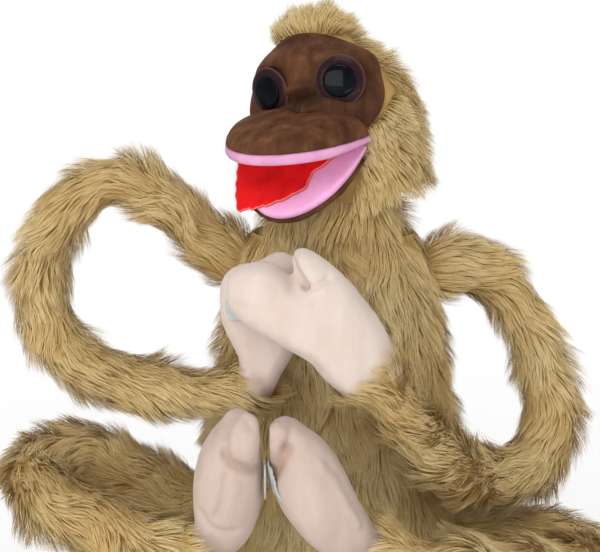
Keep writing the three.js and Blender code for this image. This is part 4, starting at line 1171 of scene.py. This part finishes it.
low = top - np.array([0, 0, tongue_thick])
points = np.concatenate([top.reshape(-1, 3), low.reshape(-1, 3)])
faces, border = sheet_faces(tongue_steps, tongue_across)
tongue = new_piece("tongue_felt", in_jaw(points), faces, red_felt)
face_outward(tongue)
edge_tint = np.zeros(len(points))
edge_tint[border] = 0.55
write_tint(tongue, edge_tint)
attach(tongue, "jaw")
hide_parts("tongue")

# %% [markdown]
# ## The eyes
# Each eye is a smoky plum disc with a black pupil standing on it, on one moulded shank that a
# washer holds behind the cloth. Its rim slopes like a saucer and thins to a bright edge. Both
# are turned shapes, so each is a profile of radius and distance in front of the face.

# %% Eyes
eye_rim_radius, eye_rim_deep, eye_pupil_radius, eye_pupil_deep = 20.0, 4.2, 12.9, 1.6


def in_eye(side, points_mm):
    """Places of an eye's own frame, with its front along -Y, moved into the puppet's frame."""
    x, z = eye_places[0 if side < 0 else 1]
    turn = math.radians(side * eye_turns_out[0 if side < 0 else 1])
    cos, sin = math.cos(turn), math.sin(turn)
    points = np.asarray(points_mm)
    turned = points @ np.array([[cos, -sin, 0], [sin, cos, 0], [0, 0, 1]]).T
    return in_head(turned + face_form(np.array([[x, z]], float), 4)[0])


def turned_piece(name, side, profile, material, sides=72):
    """A turned shape from (radius, distance in front of the face) pairs, back to front."""
    profile = np.asarray(profile, float)
    turn = np.linspace(0, 2 * math.pi, sides, endpoint=False)[None]
    radius, front = profile[:, :1], profile[:, 1:]
    rings = np.stack([radius * np.cos(turn), np.repeat(-front, sides, axis=1),
                      radius * np.sin(turn)], axis=2)
    piece = lofted(name, in_eye(side, rings.reshape(-1, 3)).reshape(rings.shape), material)
    write_tint(piece, np.append(np.repeat(radius / eye_rim_radius, sides), [0, 0]))
    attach(piece, "head")
    return piece


def rounded(corners, steps=6, cut=0.35):
    """A profile with its corners eased, as moulded plastic has them."""
    corners = [np.asarray(c, float) for c in corners]
    eased = [corners[0]]
    for before, at, after in zip(corners[:-2], corners[1:-1], corners[2:]):
        reach = min(cut, 0.4 * np.linalg.norm(at - before), 0.4 * np.linalg.norm(after - at))
        a = at + unit(before - at) * reach
        b = at + unit(after - at) * reach
        for t in np.linspace(0, 1, steps):
            eased.append((1 - t) ** 2 * a + 2 * t * (1 - t) * at + t * t * b)
    return eased + [corners[-1]]


shank_back, shank_radius = -20.0, 3.0
saucer = [(eye_rim_radius * s, eye_rim_deep * (1.0 - 0.62 * s ** 5)) for s in np.linspace(0.97, 0.62, 10)]
rim_profile = rounded([(0.2, shank_back), (shank_radius, shank_back), (shank_radius, -1.0),
                       (12.3, -1.0), (20.1, 1.0), (eye_rim_radius, 1.5), saucer[0]], cut=0.8) + saucer[1:]
rim_profile += [(eye_pupil_radius + 0.5, eye_rim_deep), (0.3, eye_rim_deep)]
dome = [(eye_pupil_radius * math.sin(a), eye_rim_deep + 1.0 + eye_pupil_deep * math.cos(a))
        for a in np.linspace(math.pi / 2, 0.03, 22)]
pupil_profile = [(0.3, eye_rim_deep + 0.1), (eye_pupil_radius - 0.3, eye_rim_deep + 0.1),
                 (eye_pupil_radius, eye_rim_deep + 0.5)] + dome
for name, side in (("right", -1), ("left", 1)):
    rim = turned_piece(f"{name}_eye_saucer", side, rim_profile, eye_rim_plastic)
    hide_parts(f"{name}_eye_rim")
    pupil = turned_piece(f"{name}_eye_dome", side, pupil_profile, pupil_plastic)
    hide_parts(f"{name}_eye_pupil")
print("eyes", 2 * eye_rim_radius, "mm across")

# %% [markdown]
# ## Hands and feet
# The mittens are pale velboa, two panels sewn round their outline, turned and stuffed. A hand
# is drawn as its outline and swollen between the panels; a foot is rounder, so it is a tube
# with a big toe joined on. Each is remeshed into one skin and blown up a little as cloth, so
# the panels belly between the seams. Where the two of a pair meet, they are pressed flat.

# %% Stuffed mittens
mitten_voxel = 3 * mm
sim_frames = 20


def joined_skin(name, forms, material):
    """One closed skin round several closed forms, given as points and faces."""
    points, faces = [], []
    for form_points, form_faces in forms:
        base = sum(len(p) for p in points)
        points.append(form_points)
        faces += [tuple(base + i for i in face) for face in form_faces]
    piece = face_outward(new_piece(name, np.vstack(points), faces, material))
    remesh = piece.modifiers.new("remesh", "REMESH")
    remesh.mode = "VOXEL"
    remesh.voxel_size = mitten_voxel
    apply_modifiers(piece)
    relax(piece, 6)
    return piece


def relax(piece, rounds, strength=0.5):
    """Evens out a skin by moving each point toward the middle of its neighbours."""
    edges = np.empty(len(piece.data.edges) * 2, dtype=np.int64)
    piece.data.edges.foreach_get("vertices", edges)
    a, b = edges.reshape(-1, 2).T
    points = read_points(piece)
    degree = np.bincount(a, minlength=len(points)) + np.bincount(b, minlength=len(points))
    for _ in range(rounds):
        total = np.zeros_like(points)
        np.add.at(total, a, points[b])
        np.add.at(total, b, points[a])
        points += strength * (total / degree[:, None] - points)
    write_points(piece, points)


def belly(piece, cap_mm, pressure=4.0):
    """Blows a skin up as cloth from inside, and lets no point move further than the cap."""
    start = read_points(piece)
    cloth = piece.modifiers.new("cloth", "CLOTH")
    cloth.settings.quality = 5
    cloth.settings.mass = 0.25
    cloth.settings.tension_stiffness = 12
    cloth.settings.bending_stiffness = 0.6
    cloth.settings.use_pressure = True
    cloth.settings.uniform_pressure_force = pressure
    cloth.settings.effector_weights.gravity = 0
    cloth.point_cache.frame_end = sim_frames
    for frame_number in range(1, sim_frames + 1):
        scene.frame_set(frame_number)
    apply_modifiers(piece)
    moved = read_points(piece) - start
    far = np.linalg.norm(moved, axis=1, keepdims=True)
    write_points(piece, start + moved * np.minimum(1, cap_mm * mm / np.maximum(far, 1e-9)))
    scene.frame_set(1)
    relax(piece, 2, 0.4)


def smoother(piece):
    subdivide = piece.modifiers.new("subdivide", "SUBSURF")
    subdivide.levels = subdivide.render_levels = 1
    apply_modifiers(piece)


def outline_loop(points, step_mm=2.5):
    """An even closed loop of (x, z) points through the given ones, in millimetres."""
    looped = np.array(points[-2:] + points + points[:3], float)
    fine = through(looped, np.linspace(2, len(points) + 2, 900))
    length = np.concatenate([[0], np.cumsum(np.linalg.norm(np.diff(fine, axis=0), axis=1))])
    even = np.linspace(0, length[-1], int(length[-1] / step_mm), endpoint=False)
    return np.stack([np.interp(even, length, fine[:, k]) for k in range(2)], axis=1)


def swollen(outline, middle_y, thick_mm, edge_mm, cell_mm=2.5):
    """A closed cushion over an outline: two panels that bulge away from a middle plane."""
    loop = outline_loop(outline)
    low, high = loop.min(axis=0) - cell_mm, loop.max(axis=0) + cell_mm
    xs = np.arange(low[0], high[0], cell_mm)
    zs = np.arange(low[1], high[1], cell_mm)
    grid_x, grid_z = np.meshgrid(xs, zs, indexing="ij")
    flat = np.stack([grid_x.ravel(), grid_z.ravel()], axis=1)
    ahead = np.roll(loop, -1, axis=0)
    crossed = np.zeros(len(flat), int)
    nearest = np.full(len(flat), 1e9)
    for a, b in zip(loop, ahead):
        spans = (a[1] > flat[:, 1]) != (b[1] > flat[:, 1])
        at = a[0] + (flat[:, 1] - a[1]) / ((b[1] - a[1]) or 1e-9) * (b[0] - a[0])
        crossed += spans & (flat[:, 0] < at)
        span = b - a
        t = np.clip(((flat - a) @ span) / (span @ span), 0, 1)[:, None]
        nearest = np.minimum(nearest, np.linalg.norm(flat - a - t * span, axis=1))
    depth = np.where(crossed % 2 == 1, nearest, 0)
    rise = thick_mm * (1 - (1 - np.clip(depth / edge_mm, 0, 1)) ** 2.2) ** (1 / 2.2)
    middle = middle_y(flat)
    front = np.stack([flat[:, 0], middle - rise, flat[:, 1]], axis=1)
    back = np.stack([flat[:, 0], middle + rise, flat[:, 1]], axis=1)
    cells = np.array(grid_faces(len(xs), len(zs), closed=False))
    # Cells outside the outline are flat, with no thickness, so they are left out.
    filled = cells[(rise[cells] > 0).any(axis=1)]
    count = len(flat)
    faces = [tuple(f) for f in filled] + [tuple(count + i for i in f[::-1]) for f in filled]
    edges = {}
    for face in filled:
        for a, b in zip(face, np.roll(face, -1)):
            edges[(a, b)] = True
    for a, b in edges:
        if (b, a) not in edges:
            faces.append((a, b, count + b, count + a))
    points = np.vstack([front, back])
    points[:count, 1] -= 0.8
    points[count:, 1] += 0.8
    return points * mm, faces


def tube_form(rows, sides=36):
    """A closed tube over limb rows, with a round tip."""
    at = np.linspace(0, len(rows) - 1, 8 * len(rows))
    middle, half, deep, along, side, depth = limb_frames(rows, at)
    turn = np.linspace(0, 2 * math.pi, sides, endpoint=False)[None, :, None]
    ring = lambda m, h, d, s, e: (m[:, None] + s[:, None] * np.cos(turn) * h[:, None, None]
                                  + e[:, None] * np.sin(turn) * d[:, None, None])
    rings = list(ring(middle, half, deep, side, depth))
    reach = min(half[-1], deep[-1])
    for share in np.linspace(0.15, 0.98, 7):
        angle = share * math.pi / 2
        rings.append(ring(middle[-1:] + along[-1:] * reach * math.sin(angle), half[-1:] * math.cos(angle),
                          deep[-1:] * math.cos(angle), side[-1:], depth[-1:])[0])
    rings = np.array(rings)
    points = np.vstack([rings.reshape(-1, 3), rings[0].mean(axis=0), rings[-1].mean(axis=0)])
    return points, lofted_faces(len(rings), sides, "poles")


def stroke(piece, line, width_mm, depth_mm, tint=0.0, facing=(0, -1, 0)):
    """Presses a line of (x, z) places into the side facing a direction; its tint is painted shade."""
    points, normals = read_points(piece), read_normals(piece)
    share = stroke_share(points[:, [0, 2]] / mm, line, width_mm)
    share *= np.clip(normals @ np.asarray(facing, float) * 1.6, 0, 1)
    write_points(piece, points - normals * (share * depth_mm * mm)[:, None])
    if tint:
        write_tint(piece, np.maximum(read_tint(piece), share * tint))


def press_flat(piece, axis, plane_mm, side):
    """Presses a skin flat against a plane."""
    points = read_points(piece)
    beyond = (points[:, axis] - plane_mm * mm) * side
    points[:, axis] = np.where(beyond > 0, plane_mm * mm, points[:, axis])
    write_points(piece, points)


def finish_mitten(piece, node, bodies, wrist, along, fill=0.85):
    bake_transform(piece)
    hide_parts(node)
    print(piece.name, len(piece.data.vertices), "points")


def wrist_of(rows, row):
    middle, along = (limb_frames(rows, [row])[k][0] for k in (0, 3))
    return middle, along


palm_gap = 2.25

# %% Hands
left_hand_outline = [
    (38, 193), (26, 189), (14, 191), (3, 197), (-10, 207), (-22, 220), (-34, 227), (-50, 237),
    (-66, 246), (-75, 254), (-82, 263), (-86, 275), (-84, 287), (-73, 296), (-57, 300), (-45, 297),
    (-38, 292), (-31, 285), (-28, 288), (-31, 296), (-33, 303), (-31, 309), (-24, 312),
    (-15, 308), (-4, 300), (12, 285), (23, 269), (33, 255), (41, 239), (48, 226), (51, 214), (48, 203)]
left_hand = joined_skin("left_hand_velboa", [swollen(
    left_hand_outline, lambda flat: -135 + 7 * np.clip((flat[:, 0] - 5) / 45, 0, 1) ** 1.3, 17, 19)],
    pale_velboa)
belly(left_hand, 3)
smoother(left_hand)
# The tints along these strokes are painted shade in the crease beside the thumb.
stroke(left_hand, [(-34, 301), (-30, 292), (-24, 284)], 2.6, 5.0, tint=0.22)
stroke(left_hand, [(-24, 284), (-16, 285), (-7, 290)], 2.6, 2.6, tint=0.08)
stroke(left_hand, [(-22, 282), (-20, 272)], 4.0, 1.6)
stroke(left_hand, [(-76, 268), (-66, 266), (-56, 265)], 4.5, 0.8)
stroke(left_hand, [(6, 240), (0, 226), (-6, 218)], 7.0, 1.0)
press_flat(left_hand, 1, palm_plane_y - palm_gap, 1)
finish_mitten(left_hand, "left_hand", ("left_forearm", "left_hand"), *wrist_of(left_arm_rows, 10))

right_hand_outline = [
    (-76, 182), (-62, 177), (-51, 184), (-42, 204), (-34, 218), (-27, 234), (-24, 252), (-23, 272),
    (-26, 288), (-34, 297), (-45, 300), (-54, 295), (-62, 291), (-75, 290), (-86, 282), (-91, 268),
    (-91, 250), (-87, 236), (-81, 222), (-78, 210), (-80, 196)]
right_hand = joined_skin("right_hand_velboa", [swollen(
    right_hand_outline, lambda flat: -100 + 0 * flat[:, 0], 15, 17)], pale_velboa)
belly(right_hand, 3)
smoother(right_hand)
stroke(right_hand, [(-76, 262), (-74, 248), (-66, 236), (-54, 226)], 3.0, 1.4)
# The tint at this hand's low end is painted shade under the fur of the cuff.
stroke(right_hand, [(-62, 204), (-56, 195), (-52, 186)], 6.0, 2.0, tint=0.26)
press_flat(right_hand, 1, palm_plane_y + palm_gap, -1)
finish_mitten(right_hand, "right_hand", ("right_forearm", "right_hand"), *wrist_of(right_arm_rows, 10))

# %% Feet
right_foot_rows = [(-106, -154, 79, 14, 14), (-97, -155, 85, 18, 19), (-88, -155, 97, 23, 24),
                   (-84, -154, 114, 26, 28), (-83, -154, 132, 26.5, 29), (-81, -154, 150, 24.5, 27),
                   (-78, -154, 166, 20, 22), (-75, -153, 178, 13, 16)]
right_big_toe_rows = [(-75, -160, 152, 9, 10), (-72, -168, 160, 12.5, 13), (-70, -170, 172, 13, 13.5),
                      (-68, -167, 182, 10.5, 11.5)]
right_foot = joined_skin("right_foot_velboa", [tube_form(right_foot_rows), tube_form(right_big_toe_rows)],
                         foot_velboa_painted_shade)
belly(right_foot, 3)
smoother(right_foot)
# The tints along these strokes are painted shade in the toe's crease and along the seams.
stroke(right_foot, [(-84, 162), (-79, 156), (-70, 152), (-60, 147)], 3.6, 4.2, tint=0.26)
stroke(right_foot, [(-83, 188), (-84, 176), (-84, 165)], 3.4, 2.4, tint=0.06)
stroke(right_foot, [(-83, 146), (-86, 127), (-91, 114)], 3.4, 2.6, tint=0.06)
stroke(right_foot, [(-104, 116), (-96, 106), (-86, 102), (-76, 102)], 3.0, 1.5)
stroke(right_foot, [(-67, 187), (-63, 183)], 3.0, 1.4, tint=0.08)
press_flat(right_foot, 0, sole_plane_x - palm_gap, 1)
finish_mitten(right_foot, "right_foot", ("right_shin", "right_foot"), *wrist_of(right_leg_rows, 8))

left_foot_rows = [(36, -157, 73, 13, 13), (24, -156, 79, 17, 17), (12, -156, 87, 21, 21),
                  (0, -155, 98, 25, 25), (-10, -155, 112, 27, 28), (-19, -154, 128, 28.5, 29),
                  (-26, -153, 144, 26.5, 28), (-33, -152, 158, 22, 24), (-39, -152, 169, 15, 18)]
left_big_toe_rows = [(-36, -160, 154, 8, 9), (-43, -165, 164, 9.5, 10), (-45, -164, 174, 9.5, 10)]
left_foot = joined_skin("left_foot_velboa", [tube_form(left_foot_rows), tube_form(left_big_toe_rows)],
                        foot_velboa_painted_shade)
belly(left_foot, 3)
smoother(left_foot)
# The strongest tint, in the cleft by the big toe, is painted shade.
stroke(left_foot, [(-37, 166), (-42, 158), (-46, 150), (-51, 140)], 4.6, 4.6, tint=0.4)
stroke(left_foot, [(-34, 180), (-35, 172), (-38, 165)], 3.0, 1.8)
stroke(left_foot, [(-13, 154), (-3, 142), (6, 124), (16, 105)], 2.6, -1.6)
stroke(left_foot, [(-6, 150), (4, 138), (12, 122)], 3.4, 1.2, tint=0.05)
press_flat(left_foot, 0, sole_plane_x + palm_gap, -1)
finish_mitten(left_foot, "left_foot", ("left_shin", "left_foot"), *wrist_of(left_leg_rows, 7))

# %% [markdown]
# ## Patches, sleeve and base
# Pieces of hook-and-loop tape are sewn to the palms and the soles; the one on the left sole
# bends round the foot, so its face shows from the front. A cotton sleeve runs from the hemmed
# opening at the back up to the head, for the puppeteer's hand.

# %% Tape patches
def patch_piece(name, node, body, axis, side, cut_low=(0, 0, 0), rows=None):
    """A piece of tape: a thin pad with rows of stubby loops on its working side. Its corners are
    cut round, it may be cut short at its low ends, and it may bend round the foot it is sewn to,
    which is given by its rows."""
    low, high = (np.array(corner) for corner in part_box(node))
    low = low + np.array(cut_low) * mm
    across = [k for k in range(3) if k != axis]
    steps = 26
    u, v = np.meshgrid(np.linspace(0, 1, steps), np.linspace(0, 1, steps), indexing="ij")
    random = np.random.default_rng(int(abs(low[0]) * 1e6) % 1000)
    frayed = 0.35 * mm * random.normal(size=(4, steps))
    points = np.zeros((2, steps, steps, 3))
    # Squeezing the square toward a circle near its corners rounds them.
    across_share, up_share = 2 * u - 1, 2 * v - 1
    squeeze = 1 - 0.13 * (np.abs(across_share) * np.abs(up_share)) ** 3
    for k, share in zip(across, (across_share, up_share)):
        points[..., k] = (low[k] + high[k]) / 2 + (high[k] - low[k]) / 2 * share * squeeze
    rim = np.minimum.reduce([u, 1 - u, v, 1 - v])
    points[:, 0, :, across[0]] += frayed[0]
    points[:, -1, :, across[0]] += frayed[1]
    points[:, :, 0, across[1]] += frayed[2]
    points[:, :, -1, across[1]] += frayed[3]
    nub = 0.25 * mm * (np.sin(u * math.pi * 18) * np.sin(v * math.pi * 16)) ** 2
    face = (high if side > 0 else low)[axis] - side * 0.3 * mm * (rim < 0.06)
    back = (low if side > 0 else high)[axis]
    points[0, ..., axis] = face - side * (0.25 * mm - nub)
    points[1, ..., axis] = back
    if rows:
        height = points[..., 2] / mm
        columns = np.array(rows, float).T
        x, y, half, deep = (np.interp(height, columns[2], columns[k]) for k in (0, 1, 3, 4))
        bend = np.sqrt(np.clip(1 - ((points[..., 1] / mm - y) / deep) ** 2, 0.02, 1))
        surface = x + side * half * bend
        above_cloth = np.array([2.6, 1.2])[:, None, None]   # its face, then its back
        points[..., 0] = np.maximum(points[..., 0], (surface + side * above_cloth) * mm)
    faces, _ = sheet_faces(steps, steps)
    piece = face_outward(new_piece(name, points.reshape(-1, 3), faces, hook_tape))
    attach(piece, body)
    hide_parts(node)


patch_piece("right_palm_tape", "right_palm_loop_patch", "right_hand", 1, -1, cut_low=(5, 0, 9))
patch_piece("left_palm_tape", "left_palm_hook_patch", "left_hand", 1, 1)
patch_piece("right_sole_tape", "right_sole_loop_patch", "right_foot", 0, 1)
patch_piece("left_sole_tape", "left_sole_hook_patch", "left_foot", 0, -1, cut_low=(0, 0, -9),
            rows=left_foot_rows)

# %% Hand sleeve
sleeve_rows = [(0, 120, 96, 44, 44), (0, 62, 118, 43, 43), (0, 20, 158, 42, 42), (0, 0, 214, 40, 40),
               (0, 0, 262, 37, 37), (0, 0, 310, 35, 35)]
sleeve_sides = 56
turn = np.linspace(0, 2 * math.pi, sleeve_sides, endpoint=False)


def opening_ring(grow, out_mm):
    """The rim of the back opening, on the body's form."""
    x = (opening_half_width + grow) * np.cos(turn)
    z = opening_z + (opening_half_height + grow) * np.sin(turn)
    rows = np.asarray(body_rows, float)
    sizes = through(rows, np.interp(z, rows[:, 0], np.arange(len(rows))))
    y = sizes[:, 3] + (sizes[:, 2] - 11) * np.sqrt(1 - (x / (sizes[:, 1] - 11)) ** 2)
    return np.stack([x, y + out_mm, z], axis=1) * mm


def sleeve_ring(row, grow=0.0):
    middle, half, deep, along, side, depth = limb_frames(sleeve_rows, [row])
    fold = 1 + 0.02 * np.sin(7 * turn + 2 * row) + 0.012 * np.sin(11 * turn - 5 * row)
    return (middle + side * (np.cos(turn) * (half[0] + grow * mm) * fold)[:, None]
            + depth * (np.sin(turn) * (deep[0] + grow * mm) * fold)[:, None])


hem = [(3.5, 0.5), (2.5, 2.6), (0.5, 3.2), (-1.2, 2.0), (-1.8, -1.0), (-1.2, -5.0)]
outer = [opening_ring(grow, out) for grow, out in hem]
inner_rows = np.linspace(1.25, 4.9, 46)
rings = outer + [sleeve_ring(row, -3.0) for row in inner_rows]
rings += [sleeve_ring(row, -2.0) for row in inner_rows[::-1]]
rings += [opening_ring(grow + 0.8, out - 1.2) for grow, out in hem[::-1]]
sleeve = lofted("hand_sleeve_cotton", rings, cotton_lining, ends="loop")
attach(sleeve, "torso")
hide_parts("hand_sleeve_lining")
sleeve_area = sum(face.area for face in sleeve.data.polygons) / 2
print("sleeve area", round(sleeve_area * 1e4), "cm2 of", round(0.265 * 0.245 * 1e4))

# %% Base panel
base_sides, base_rings = 90, 22
turn = np.linspace(0, 2 * math.pi, base_sides, endpoint=False)
shares = np.linspace(0.03, 1, base_rings)
base = []
for share in shares:
    base.append(np.stack([share * 73 * np.cos(turn), -4 + share * 49 * np.sin(turn),
                          np.full(base_sides, 0.6 + 1.2 * share ** 6)], axis=1))
top = [ring + np.array([0, 0, 2.2]) for ring in base[::-1]]
base_panel = lofted("base_panel_cloth", np.array(base + top) * mm, fur_backing)
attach(base_panel, "torso")
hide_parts("body_base")

# %% Hard pieces of the frame
for node, material in (("palate_board", hardboard), ("jaw_board", hardboard),
                       ("right_eye_washer", washer_plastic), ("left_eye_washer", washer_plastic)):
    bpy.data.objects[node].material_slots[0].material = material
